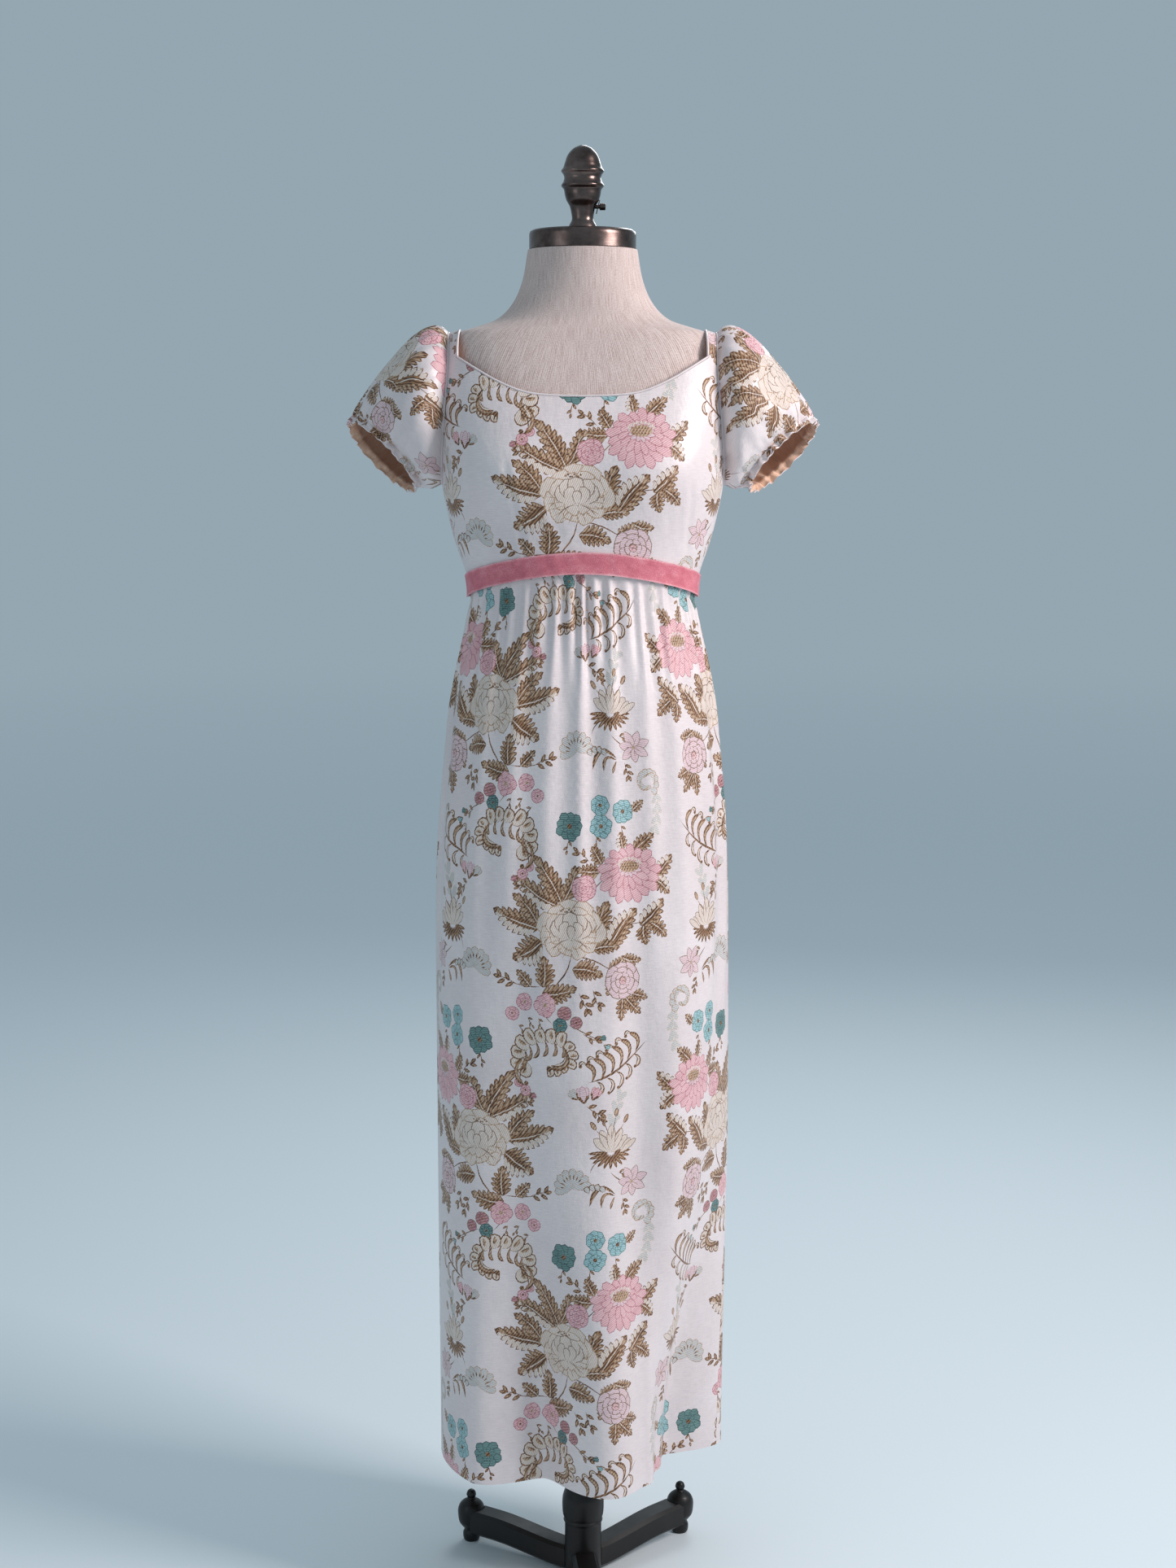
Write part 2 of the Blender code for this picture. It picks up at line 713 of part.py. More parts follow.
def build_skirt(parent):
    panels = []
    for name, middle in (("skirt_front", 0.0), ("skirt_back", math.pi)):
        panel = Panel(name)
        fine = [middle - math.pi / 2 + math.pi * i / SKIRT_COLUMNS for i in range(SKIRT_COLUMNS + 1)]
        coarse = fine[::2]
        rows = []
        for level in reversed(SKIRT_LEVELS):
            rows.append(panel.add_row([skirt_point(angle, level) for angle in coarse]))
        for drop in reversed(SKIRT_FINE_DROPS):
            line = []
            for angle in fine:
                line.append(skirt_point(angle, band_middle(angle) - drop - SEAM_GAP))
            rows.append(panel.add_row(line))
        for lower, upper in zip(rows, rows[1:]):
            panel.join(lower, upper)
        panels.append(panel)
    cloth_solids(panels, CLOTH, "brocade", parent)


# Sleeves

SLEEVE_COLUMNS = 72
SLEEVE_STEPS = (0.0, 0.10, 0.30, 0.55, 0.78, 0.92, 1.0)
CUFF_LONG_AXIS = Vector((0.64, 0.0, 0.768))
CUFF_NORMAL = Vector((0.667, -0.342, -0.658)).normalized()


def cuff_point(turn, out):
    """Ring of the elastic; turn is 0 on top, and out moves it along the cuff's axis."""
    long_axis = (CUFF_LONG_AXIS - CUFF_NORMAL * CUFF_LONG_AXIS.dot(CUFF_NORMAL)).normalized()
    short_axis = long_axis.cross(CUFF_NORMAL).normalized()
    if short_axis.y > 0:
        short_axis = -short_axis
    centre = CUFF_CENTRE - CUFF_NORMAL * CUFF_FRILL
    along = long_axis * CUFF_HALF_LONG * math.cos(turn)
    across = short_axis * CUFF_HALF_SHORT * math.sin(turn)
    return centre + along + across + CUFF_NORMAL * out


def sleeve_base(turn, share):
    """Point of the puffed sleeve: turn is 0 on top and pi/2 in front, share runs to the elastic."""
    start = armhole_point(math.pi - turn) + Vector((2 * SEAM_GAP, 0, 0))
    end = cuff_point(turn, 0)
    up, forward = math.cos(turn), math.sin(turn)
    leave = Vector((0.065 + 0.025 * up, -0.12 * forward, 0.04 + 0.06 * up))
    arrive = Vector((0.02 - 0.01 * up, 0.12 * forward, -0.025 - 0.025 * up))
    t = share
    point = start * (2 * t ** 3 - 3 * t ** 2 + 1) + end * (-2 * t ** 3 + 3 * t ** 2)
    return point + leave * (t ** 3 - 2 * t ** 2 + t) + arrive * (t ** 3 - t ** 2)


def sleeve_ring(share):
    turns = [2 * math.pi * i / SLEEVE_COLUMNS for i in range(SLEEVE_COLUMNS)]
    if share <= 1:
        ring = [sleeve_base(turn, share) for turn in turns]
    else:
        ring = [cuff_point(turn, CUFF_FRILL) for turn in turns]
    centre = sum(ring, Vector((0, 0, 0))) / len(ring)
    head = HEAD_GATHER_HEIGHT * smoothstep(share / 0.10) * (1 - smoothstep((share - 0.12) / 0.45))
    cuff = CUFF_GATHER_HEIGHT * smoothstep((share - 0.60) / 0.35)
    if share > 1:
        cuff *= 1.5
    shaped = []
    for turn, point in zip(turns, ring):
        outward = (point - centre).normalized()
        rise = head * max(0.0, math.cos(turn)) * math.cos(HEAD_GATHERS * turn)
        rise += cuff * math.cos(CUFF_GATHERS * turn)
        shaped.append(point + outward * rise)
    return shaped


def build_sleeve(name, side, parent):
    panel = Panel(name)
    rings = []
    for share in (*SLEEVE_STEPS, 2.0):
        ring = [Vector((point.x * side, point.y, point.z)) for point in sleeve_ring(share)]
        indices = panel.add_row(ring)
        rings.append(indices + indices[:1])
    for lower, upper in zip(rings, rings[1:]):
        if side < 0:
            lower, upper = upper, lower
        panel.join(lower, upper)
    cloth_solids([panel], CLOTH, "brocade", parent)


# Turned pieces

def ring_points(radius, z, sides, centre=(0.0, 0.0)):
    turns = [2 * math.pi * i / sides for i in range(sides)]
    return [Vector((centre[0] + radius * math.cos(t), centre[1] + radius * math.sin(t), z))
            for t in turns]


def closed_turning(name, rings, finish, parent, curved_ends=False):
    """Solid through rings of equal size, in order, with both ends capped.

    Curved ends are capped by strips across, for a ring that is alike above and below.
    """
    sides = len(rings[0])
    points = [point for ring in rings for point in ring]
    last = (len(rings) - 1) * sides
    if curved_ends:
        strips = [(i, i + 1, sides - 2 - i, sides - 1 - i) for i in range(sides // 2 - 1)]
        faces = [tuple(reversed(strip)) for strip in strips]
        faces += [tuple(last + i for i in strip) for strip in strips]
    else:
        faces = [tuple(reversed(range(sides))), tuple(last + i for i in range(sides))]
    for row in range(len(rings) - 1):
        for i in range(sides):
            following = (i + 1) % sides
            low, high = row * sides, (row + 1) * sides
            faces.append((low + i, low + following, high + following, high + i))
    return new_object(name, points, faces, finish, parent)


def turned(name, profile, sides, finish, parent, centre=(0.0, 0.0)):
    rings = [ring_points(row.radius, row.z, sides, centre) for row in profile]
    return closed_turning(name, rings, finish, parent)


# Dress form

FORM_COLUMNS = 32


def build_torso(parent):
    """Linen covered torso: outside from the neck down, then up inside the blind bore."""
    rings = []
    for row in reversed(FORM_SECTIONS):
        ring = []
        for i in range(FORM_COLUMNS):
            angle = 2 * math.pi * i / FORM_COLUMNS
            radius = section_radius(FORM_SECTIONS, angle, row.z, BUST_OUT["form"])
            ring.append(polar(radius, angle, row.z))
        rings.append(ring)
    bore = ROD_RADIUS + SEAM_GAP
    for z in (TORSO_BOTTOM_Z, ROD_TOP_Z + SEAM_GAP):
        turns = [2 * math.pi * i / FORM_COLUMNS for i in range(FORM_COLUMNS)]
        rings.append([polar(bore, angle, z) for angle in turns])
    closed_turning("form_torso", rings, "linen", parent)


def build_rod(parent):
    closed_turning("form_rod", [
        ring_points(ROD_RADIUS - 0.0015, ROD_BOTTOM_Z, 20),
        ring_points(ROD_RADIUS, ROD_BOTTOM_Z + 0.0015, 20),
        ring_points(ROD_RADIUS, ROD_TOP_Z, 20),
    ], "steel", parent)


def build_finial(parent):
    finial = turned("finial", FINIAL_PROFILE, 16, "dark_metal", parent)
    lift = world_place(parent).z
    hole = closed_turning("finial_hole", [
        ring_points(LOCK_SHANK + SEAM_GAP, lift, 14),
        ring_points(LOCK_SHANK + SEAM_GAP, lift + 0.03, 14),
    ], "dark_metal", parent)
    hole.rotation_euler = (0, math.pi / 2, 0)
    hole.location = Vector((LOCK_HOLE_END, 0, LOCK_Z)) - world_place(parent)
    hole.hide_render = True
    hole.display_type = "WIRE"
    cut = finial.modifiers.new("lock hole", "BOOLEAN")
    cut.operation = "DIFFERENCE"
    cut.solver = "EXACT"
    cut.object = hole


def build_lock_plate(parent):
    """Thin leaf between finial and knob, leaning out along the bowl, with a hole for the shank."""
    sides = 16
    lean = math.radians(14)
    half_thick = 0.0005
    hole = LOCK_SHANK + 0.0004
    centre = Vector((0.0172, 0, LOCK_Z))
    rings = []
    for depth, half_width, half_height in (
        (half_thick, 0.0036, 0.0080),
        (half_thick, hole, hole),
        (-half_thick, hole, hole),
        (-half_thick, 0.0036, 0.0080),
    ):
        ring = []
        for i in range(sides):
            turn = 2 * math.pi * i / sides
            across = Vector((0, half_width * math.cos(turn), 0))
            along = Vector((math.sin(lean), 0, math.cos(lean))) * half_height * math.sin(turn)
            out = Vector((math.cos(lean), 0, -math.sin(lean))) * depth
            ring.append(centre + across + along + out)
        rings.append(ring)
    points = [point for ring in rings for point in ring]
    faces = []
    for row in range(4):
        for i in range(sides):
            following = (i + 1) % sides
            low, high = row * sides, ((row + 1) % 4) * sides
            faces.append((low + i, low + following, high + following, high + i))
    new_object("lock_plate", points, faces, "dark_metal", parent)


def build_lock_screw(parent):
    """Set screw with a round knob, its axis along X, in the finial's collar."""
    profile = (
        (LOCK_HOLE_END + SEAM_GAP, LOCK_SHANK),
        (0.0190, LOCK_SHANK),
        (0.0190, LOCK_KNOB - 0.0005),
        (0.0195, LOCK_KNOB),
        (0.0250, LOCK_KNOB),
        (0.0257, LOCK_KNOB - 0.0007),
    )
    turns = [2 * math.pi * i / 14 for i in range(14)]
    rings = [[Vector((x, radius * math.cos(t), LOCK_Z + radius * math.sin(t))) for t in turns]
             for x, radius in profile]
    closed_turning("lock_screw", rings, "dark_metal", parent)


# Stand

def build_tube(parent):
    """Pole tube with a collar at its top, hollow for the rod, standing on the column."""
    bore = ROD_RADIUS + SEAM_GAP
    bottom = COLUMN_TOP_Z + SEAM_GAP
    outline = (
        (TUBE_RADIUS, bottom),
        (TUBE_RADIUS, TUBE_TOP_Z - 0.032),
        (TUBE_RADIUS + 0.004, TUBE_TOP_Z - 0.030),
        (TUBE_RADIUS + 0.004, TUBE_TOP_Z - 0.002),
        (TUBE_RADIUS + 0.002, TUBE_TOP_Z),
        (bore, TUBE_TOP_Z),
        (bore, bottom + 0.02),
    )
    rings = [ring_points(radius, z, 20) for radius, z in outline]
    closed_turning("pole_tube", rings, "dark_wood", parent)


def leg_height(reach):
    """Height of the leg's middle line at a distance from the pole."""
    return 0.0195 + 0.0085 * smoothstep((reach - 0.020) / 0.110)


def build_leg(name, angle, parent):
    """Arched square leg with bevelled edges, hollowed at both ends for column and foot."""
    half = LEG_SIZE / 2
    inner = half - LEG_BEVEL
    across_top = [inner * share for share in (1.0, 0.5, 0.0, -0.5, -1.0)]
    outline = [(half, inner)] + [(across, half) for across in across_top] + [(-half, inner)]
    outline += [(-across, -up) for across, up in outline]
    near = COLUMN_RADIUS + 2 * SEAM_GAP
    far = LEG_REACH - FOOT_RADIUS - 2 * SEAM_GAP
    stations = 6
    ahead = Vector((math.cos(angle), math.sin(angle), 0))
    beside = Vector((-math.sin(angle), math.cos(angle), 0))
    rings = []
    for station in range(stations + 1):
        share = station / stations
        ring = []
        for across, up in outline:
            start = math.sqrt(near ** 2 - across ** 2)
            end = LEG_REACH - math.sqrt((LEG_REACH - far) ** 2 - across ** 2)
            reach = start + (end - start) * share
            ring.append(ahead * reach + beside * across + Vector((0, 0, leg_height(reach) + up)))
        rings.append(ring)
    closed_turning(name, rings, "dark_wood", parent, curved_ends=True)


def build_stand(parent):
    turned("stand_column", COLUMN_PROFILE, 20, "dark_wood", parent)
    build_tube(parent)
    for place, degrees in LEG_ANGLES.items():
        angle = math.radians(degrees)
        build_leg(f"leg_{place}", angle, parent)
        centre = (LEG_REACH * math.cos(angle), LEG_REACH * math.sin(angle))
        turned(f"foot_{place}", FOOT_PROFILE, 14, "dark_wood", parent, centre)


def main():
    clear_scene()
    stand = new_empty("stand_frame", (0, 0, 0))
    slide = new_empty("height_slide_frame", (0, 0, TUBE_TOP_Z), stand)
    form = new_empty("form_swivel_frame", (0, 0, ROD_TOP_Z), slide)
    lock = new_empty("lock_screw_frame", (0, 0, LOCK_Z), form)
    build_stand(stand)
    build_rod(slide)
    build_torso(form)
    turned("neck_cap", CAP_PROFILE, 28, "dark_metal", form)
    build_finial(form)
    build_lock_plate(form)
    build_lock_screw(lock)
    loop, normals = build_bodice(form)
    build_neckline_binding(loop, normals, form)
    build_band(form)
    build_skirt(form)
    build_sleeve("sleeve_left", 1, form)
    build_sleeve("sleeve_right", -1, form)


main()
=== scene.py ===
"""Regency gown of floral brocade on a linen dress form with its tripod stand."""

import itertools
import math

import bpy
import numpy as np
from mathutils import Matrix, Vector
from mathutils.bvhtree import BVHTree
from mathutils.geometry import delaunay_2d_cdt


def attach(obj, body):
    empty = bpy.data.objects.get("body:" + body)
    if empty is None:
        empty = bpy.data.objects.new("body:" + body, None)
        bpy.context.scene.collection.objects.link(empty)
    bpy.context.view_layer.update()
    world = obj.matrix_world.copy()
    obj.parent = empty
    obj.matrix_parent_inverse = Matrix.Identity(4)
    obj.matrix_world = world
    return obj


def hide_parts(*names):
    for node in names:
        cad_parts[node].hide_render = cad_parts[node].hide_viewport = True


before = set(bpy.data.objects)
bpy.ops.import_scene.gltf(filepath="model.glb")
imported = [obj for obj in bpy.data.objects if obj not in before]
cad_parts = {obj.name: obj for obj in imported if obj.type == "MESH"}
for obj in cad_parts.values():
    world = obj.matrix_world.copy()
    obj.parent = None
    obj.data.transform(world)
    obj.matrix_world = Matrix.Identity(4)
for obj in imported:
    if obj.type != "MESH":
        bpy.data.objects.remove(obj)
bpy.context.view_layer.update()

# Sizes in metres, the same as in part.py

SEAM_GAP = 0.0003
CLOTH = 0.0014
BODICE_CLOTH = 0.0015
HEM_Z = 0.163
BAND_SIDE_Z = 1.192
BAND_RISE = 0.031
BAND_WIDTH = 0.024
BAND_THICK = 0.0014
BAND_GAP = 0.0007
ARMHOLE_Z = 1.3925
ARMHOLE_HALF_HEIGHT = 0.0845
ARMHOLE_HALF_DEPTH = 0.060
STRAP_Z = 1.4475
STRAP_TURN = math.acos((ARMHOLE_Z - STRAP_Z) / ARMHOLE_HALF_HEIGHT)
STRAP_TOP = (0.1400, 1.4800)
STRAP_SIDE = 8 / 9          # share of the bodice's half width where the strap begins
STRAP_ROWS = 24
BODICE_ROWS = 12
SEAM_ROWS = 4               # rows of the bodice along its side seam, the rest lie along the armhole
BINDING = 0.0012            # half the thickness of the neckline's binding
CUFF_CENTRE = np.array((0.2285, 0.0, 1.3385))
CUFF_NORMAL = np.array((0.667, -0.342, -0.658)) / math.hypot(0.667, 0.342, 0.658)
CUFF_LONG_AXIS = np.array((0.64, 0.0, 0.768))
CUFF_HALVES = (0.0535, 0.0430)
CUFF_FRILL = 0.008
SKIRT_GATHERS = 44
GATHER_HEIGHT = 0.0024
SKIRT_INSET = 0.0015
FOLD_MID_Z = 0.60
FOLD_TOP_Z = 1.02
TORSO_BOTTOM_Z = 0.813
ROD_BORE = 0.0128
ROD_TOP_Z = 1.500

# Outline of gown and form by height: z, half width, depth in front, depth behind, squareness
GOWN = np.array([
    (0.1630, 0.1670, 0.1500, 0.1500, 2.2), (0.3000, 0.1710, 0.1500, 0.1460, 2.2),
    (0.6000, 0.1710, 0.1450, 0.1400, 2.2), (0.7600, 0.1690, 0.1410, 0.1350, 2.2),
    (0.9040, 0.1650, 0.1350, 0.1300, 2.2), (1.0190, 0.1560, 0.1270, 0.1180, 2.2),
    (1.0650, 0.1510, 0.1220, 0.1110, 2.2), (1.1120, 0.1440, 0.1170, 0.1020, 2.2),
    (1.1550, 0.1350, 0.1130, 0.0900, 2.2), (1.1800, 0.1305, 0.1105, 0.0820, 2.2),
    (1.2070, 0.1330, 0.1085, 0.0830, 2.2), (1.2430, 0.1450, 0.1110, 0.0870, 2.3),
    (1.2750, 0.1530, 0.1165, 0.0900, 2.4), (1.3080, 0.1590, 0.1190, 0.0930, 2.6),
    (1.3450, 0.1590, 0.1165, 0.0955, 3.0), (1.3800, 0.1580, 0.1090, 0.0970, 3.4),
    (1.4040, 0.1570, 0.1005, 0.0970, 3.5), (1.4225, 0.1560, 0.0930, 0.0960, 3.5),
    (1.4475, 0.1550, 0.0810, 0.0920, 3.4), (1.4775, 0.1500, 0.0640, 0.0800, 3.2),
])
FORM = np.array([
    (0.8130, 0.1360, 0.0900, 0.0980, 2.2), (0.8530, 0.1450, 0.0960, 0.1040, 2.2),
    (0.9040, 0.1500, 0.0980, 0.1060, 2.2), (0.9550, 0.1480, 0.0950, 0.1040, 2.2),
    (1.0130, 0.1420, 0.0900, 0.0950, 2.2), (1.0650, 0.1340, 0.0860, 0.0830, 2.2),
    (1.1120, 0.1270, 0.0850, 0.0740, 2.2), (1.1550, 0.1220, 0.0880, 0.0710, 2.2),
    (1.1800, 0.1205, 0.0920, 0.0710, 2.2), (1.2070, 0.1240, 0.0960, 0.0740, 2.2),
    (1.2430, 0.1350, 0.1020, 0.0780, 2.3), (1.2750, 0.1430, 0.1080, 0.0820, 2.4),
    (1.3080, 0.1480, 0.1110, 0.0850, 2.5), (1.3450, 0.1470, 0.1085, 0.0880, 2.7),
    (1.3800, 0.1455, 0.1020, 0.0900, 2.9), (1.4040, 0.1450, 0.0945, 0.0905, 3.0),
    (1.4225, 0.1455, 0.0875, 0.0895, 3.0), (1.4475, 0.1470, 0.0760, 0.0855, 3.0),
    (1.4640, 0.1475, 0.0690, 0.0795, 2.8), (1.4774, 0.1390, 0.0630, 0.0740, 2.5),
    (1.4826, 0.1230, 0.0600, 0.0700, 2.3), (1.4910, 0.0985, 0.0560, 0.0650, 2.2),
    (1.5080, 0.0800, 0.0540, 0.0615, 2.1), (1.5340, 0.0680, 0.0550, 0.0595, 2.0),
    (1.5685, 0.0615, 0.0590, 0.0590, 2.0),
])
BUST = (math.radians(34), math.radians(22), 1.318, 0.042)   # angle, spread, z, height
GOWN_BUST_OUT = 0.013
FORM_BUST_OUT = 0.011
ARMHOLE_SIDE = np.array([
    (1.3080, 0.1590), (1.3600, 0.1550), (1.4130, 0.1505), (1.4475, 0.1490), (1.4775, 0.1500),
])
# x, z in front, z behind
NECKLINE = np.array([
    (0.0000, 1.4035, 1.4240), (0.0400, 1.4048, 1.4248), (0.0665, 1.4090, 1.4275),
    (0.0947, 1.4205, 1.4330), (0.1200, 1.4350, 1.4400), (0.1400, 1.4475, 1.4475),
])
# Deep folds: angle and radius at FOLD_MID_Z, then at the hem
FOLDS = np.array([
    (-95, 0.1710, -95, 0.1700), (-52, 0.1700, -50, 0.1690), (-27, 0.1470, -24, 0.1070),
    (8, 0.1530, 13, 0.1580), (25, 0.1440, 33, 0.1385), (43, 0.1620, 48, 0.1150),
    (67, 0.1590, 70, 0.1000), (93, 0.1710, 95, 0.1670), (125, 0.1650, 125, 0.1680),
    (151, 0.1450, 151, 0.1370), (178, 0.1560, 178, 0.1680), (206, 0.1450, 208, 0.1380),
    (235, 0.1640, 236, 0.1670),
])
# Darts of the bodice front: x and z at the foot, x and z at the point
DARTS = np.array([(-0.062, 1.228, -0.086, 1.340), (0.115, 1.212, 0.121, 1.313)])
# Heights and radii of the turned parts
CAP_PROFILE = np.array([
    (1.5688, 0.0585), (1.5693, 0.0600), (1.5860, 0.0600), (1.5885, 0.0590), (1.5900, 0.0565),
])
FINIAL_PROFILE = np.array([
    (1.5903, 0.0170), (1.5960, 0.0150), (1.6020, 0.0122), (1.6090, 0.0128), (1.6165, 0.0146),
    (1.6230, 0.0182), (1.6290, 0.0200), (1.6350, 0.0212), (1.6390, 0.0240), (1.6430, 0.0218),
    (1.6475, 0.0206), (1.6515, 0.0218), (1.6550, 0.0240), (1.6590, 0.0216), (1.6630, 0.0203),
    (1.6730, 0.0165), (1.6800, 0.0100), (1.6830, 0.0035),
])
FOOT_PROFILE = np.array([
    (0.0000, 0.0085), (0.0025, 0.0100), (0.0100, 0.0105), (0.0150, 0.0088), (0.0175, 0.0105),
    (0.0240, 0.0150), (0.0320, 0.0165), (0.0410, 0.0165), (0.0480, 0.0135), (0.0520, 0.0088),
    (0.0545, 0.0050), (0.0590, 0.0060), (0.0635, 0.0045), (0.0655, 0.0018),
])
COLUMN_PROFILE = np.array([
    (0.0060, 0.0200), (0.0080, 0.0220), (0.0660, 0.0220), (0.0690, 0.0236), (0.0720, 0.0222),
    (0.0750, 0.0240), (0.0850, 0.0250), (0.0980, 0.0245), (0.1080, 0.0215), (0.1140, 0.0200),
    (0.1180, 0.0215), (0.1240, 0.0215), (0.1260, 0.0195),
])
LEG_REACH = 0.166
LEG_ANGLES = {"front": -85, "left": 43, "right": 147}
LEG_SIZE = 0.030
LEG_BEVEL = 0.004
COLUMN_RADIUS = 0.022
FOOT_RADIUS = 0.0165
LEG_START_Z = 0.0195        # middle of a leg where it leaves the column
LEG_RISE = 0.0085
TUBE_PROFILE = ((0.1263, 0.0160), (TORSO_BOTTOM_Z - 0.0323, 0.0160), (TORSO_BOTTOM_Z - 0.0303, 0.0200),
                (TORSO_BOTTOM_Z - 0.0023, 0.0200), (TORSO_BOTTOM_Z - SEAM_GAP, 0.0180),
                (TORSO_BOTTOM_Z - SEAM_GAP, ROD_BORE), (0.1463, ROD_BORE))
# The lock screw, along X
LOCK_Z = 1.616
LOCK_SHANK = 0.0022
LOCK_KNOB = 0.0038
LOCK_HOLE_END = 0.0066
LOCK_PROFILE = ((LOCK_HOLE_END + SEAM_GAP, LOCK_SHANK), (0.0190, LOCK_SHANK), (0.0190, LOCK_KNOB - 0.0005),
                (0.0195, LOCK_KNOB), (0.0250, LOCK_KNOB), (0.0257, LOCK_KNOB - 0.0007))


# Surfaces

def smoothstep(value):
    clamped = np.clip(value, 0.0, 1.0)
    return clamped * clamped * (3 - 2 * clamped)


def curve_weights(t):
    """Weights of start, end, leaving slope and arriving slope on a smooth curve."""
    return 2 * t ** 3 - 3 * t ** 2 + 1, 3 * t ** 2 - 2 * t ** 3, t ** 3 - 2 * t ** 2 + t, t ** 3 - t ** 2


def through(rows, column, value):
    """Smooth curve through one column of a table, read at values of its first column."""
    keys, heights = rows[:, 0], rows[:, column]
    places = np.arange(len(keys))
    low, high = np.maximum(places - 1, 0), np.minimum(places + 1, len(keys) - 1)
    slopes = (heights[high] - heights[low]) / (keys[high] - keys[low])
    value = np.clip(value, keys[0], keys[-1])
    i = np.clip(np.searchsorted(keys, value, side="right") - 1, 0, len(keys) - 2)
    span = keys[i + 1] - keys[i]
    start, end, leave, arrive = curve_weights((value - keys[i]) / span)
    smooth = start * heights[i] + end * heights[i + 1] + leave * span * slopes[i]
    return smooth + arrive * span * slopes[i + 1]


def section_radius(rows, angle, z, bust_out):
    """Distance from the pole axis to the outline; angle 0 is the front."""
    half, power = through(rows, 1, z), through(rows, 4, z)
    depth = np.where(np.cos(angle) > 0, through(rows, 2, z), through(rows, 3, z))
    across, along = np.abs(np.sin(angle)) / half, np.abs(np.cos(angle)) / depth
    radius = (across ** power + along ** power) ** (-1 / power)
    turn = np.arctan2(np.sin(angle), np.cos(angle))
    bust, spread, middle, height = BUST
    for centre in (-bust, bust):
        bump = np.exp(-((z - middle) / height) ** 2 - ((turn - centre) / spread) ** 2)
        radius = radius + bust_out * bump
    return radius


def polar(radius, angle, z):
    return np.stack(np.broadcast_arrays(radius * np.sin(angle), -radius * np.cos(angle), z), -1)


def gown_radius(angle, z):
    return section_radius(GOWN, angle, z, GOWN_BUST_OUT)


def band_middle(angle):
    return BAND_SIDE_Z + BAND_RISE * np.maximum(0.0, np.cos(angle)) ** 1.3


def ridge(distance, width):
    """Soft ridge, 1 on its crest."""
    return np.exp(-(distance / width) ** 2)


def fold_radius(angle, z):
    """Distance of the deep folds from the pole."""
    share = smoothstep((FOLD_MID_Z - z) / (FOLD_MID_Z - HEM_Z))[..., None]
    turns = np.radians(FOLDS[:, 0] + (FOLDS[:, 2] - FOLDS[:, 0]) * share)
    radii = FOLDS[:, 1] + (FOLDS[:, 3] - FOLDS[:, 1]) * share
    turns = np.concatenate([turns, turns[..., :1] + 2 * np.pi], -1)
    radii = np.concatenate([radii, radii[..., :1]], -1)
    turn = turns[..., 0] + np.mod(angle - turns[..., 0], 2 * np.pi)
    index = np.clip((turn[..., None] >= turns).sum(-1) - 1, 0, len(FOLDS) - 1)[..., None]
    start, end = (np.take_along_axis(turns, index + k, -1)[..., 0] for k in (0, 1))
    low, high = (np.take_along_axis(radii, index + k, -1)[..., 0] for k in (0, 1))
    return low + (high - low) * smoothstep((turn - start) / (end - start))


def gather_height(angle, z):
    """Gathers below the ribbon, uneven, that merge and fade down the skirt."""
    drop = band_middle(angle) - z
    uneven = 1 + 0.30 * np.sin(5 * angle + 1) + 0.20 * np.sin(11 * angle)
    grow = smoothstep(drop / 0.030)
    fade = 1 - smoothstep((drop - 0.05) / 0.12)
    turn = angle + 0.018 * np.sin(9 * angle + 0.4) + 0.010 * np.sin(23 * angle)
    small = GATHER_HEIGHT * grow * fade * uneven * np.cos(SKIRT_GATHERS * turn)
    merged = smoothstep((drop - 0.05) / 0.10) * (1 - smoothstep((drop - 0.25) / 0.35))
    wide = 0.0022 * merged * uneven * np.cos(SKIRT_GATHERS / 2 * turn + 0.6)
    return small + wide


def skirt_point(angle, z):
    share = smoothstep((FOLD_TOP_Z - z) / (FOLD_TOP_Z - FOLD_MID_Z))
    radius = gown_radius(angle, z) * (1 - share) + fold_radius(angle, z) * share
    drop = band_middle(angle) - z
    inset = SKIRT_INSET + GATHER_HEIGHT * smoothstep(drop / 0.02)
    inset = inset * (1 - smoothstep((drop - 0.05) / 0.10))
    return polar(radius - inset + gather_height(angle, z), angle, z)


def armhole_point(turn):
    """Armhole seam; turn is 0 at the underarm and pi at the shoulder, front at -Y."""
    z = ARMHOLE_Z - ARMHOLE_HALF_HEIGHT * np.cos(turn)
    return np.stack([through(ARMHOLE_SIDE, 1, z), -ARMHOLE_HALF_DEPTH * np.sin(turn), z], -1)


def neckline_border(x, front):
    """Angle and height of the neckline at a distance from the centre."""
    z = through(NECKLINE, 1 if front else 2, x)
    low, high = np.zeros_like(x), np.full_like(x, np.pi / 2)
    for _ in range(40):
        middle = (low + high) / 2
        angle = middle if front else np.pi - middle
        inside = gown_radius(angle, z) * np.sin(middle) < x
        low, high = np.where(inside, middle, low), np.where(inside, high, middle)
    return (low + high) / 2, z


def armhole_row(row):
    """Armhole edge of the bodice at a row."""
    return armhole_point(STRAP_TURN * np.clip((row - SEAM_ROWS) / (BODICE_ROWS - SEAM_ROWS), 0, 1))


def strap_share(side):
    """How far across the strap's width a place of the bodice lies."""
    return np.clip(side * 9 - 8, 0, 1)


def side_border(row):
    """Side edge of the bodice at a row: angle and height."""
    low = band_middle(np.pi / 2) + SEAM_GAP
    high = ARMHOLE_Z - ARMHOLE_HALF_HEIGHT
    share = np.interp(row, range(SEAM_ROWS + 1), (0.0, 0.115, 0.41, 0.705, 1.0))
    edge = armhole_row(row)
    seam = row <= SEAM_ROWS
    turn = np.where(seam, np.pi / 2, np.arctan2(edge[..., 0], -edge[..., 1]))
    return turn, np.where(seam, low + (high - low) * share, edge[..., 2])


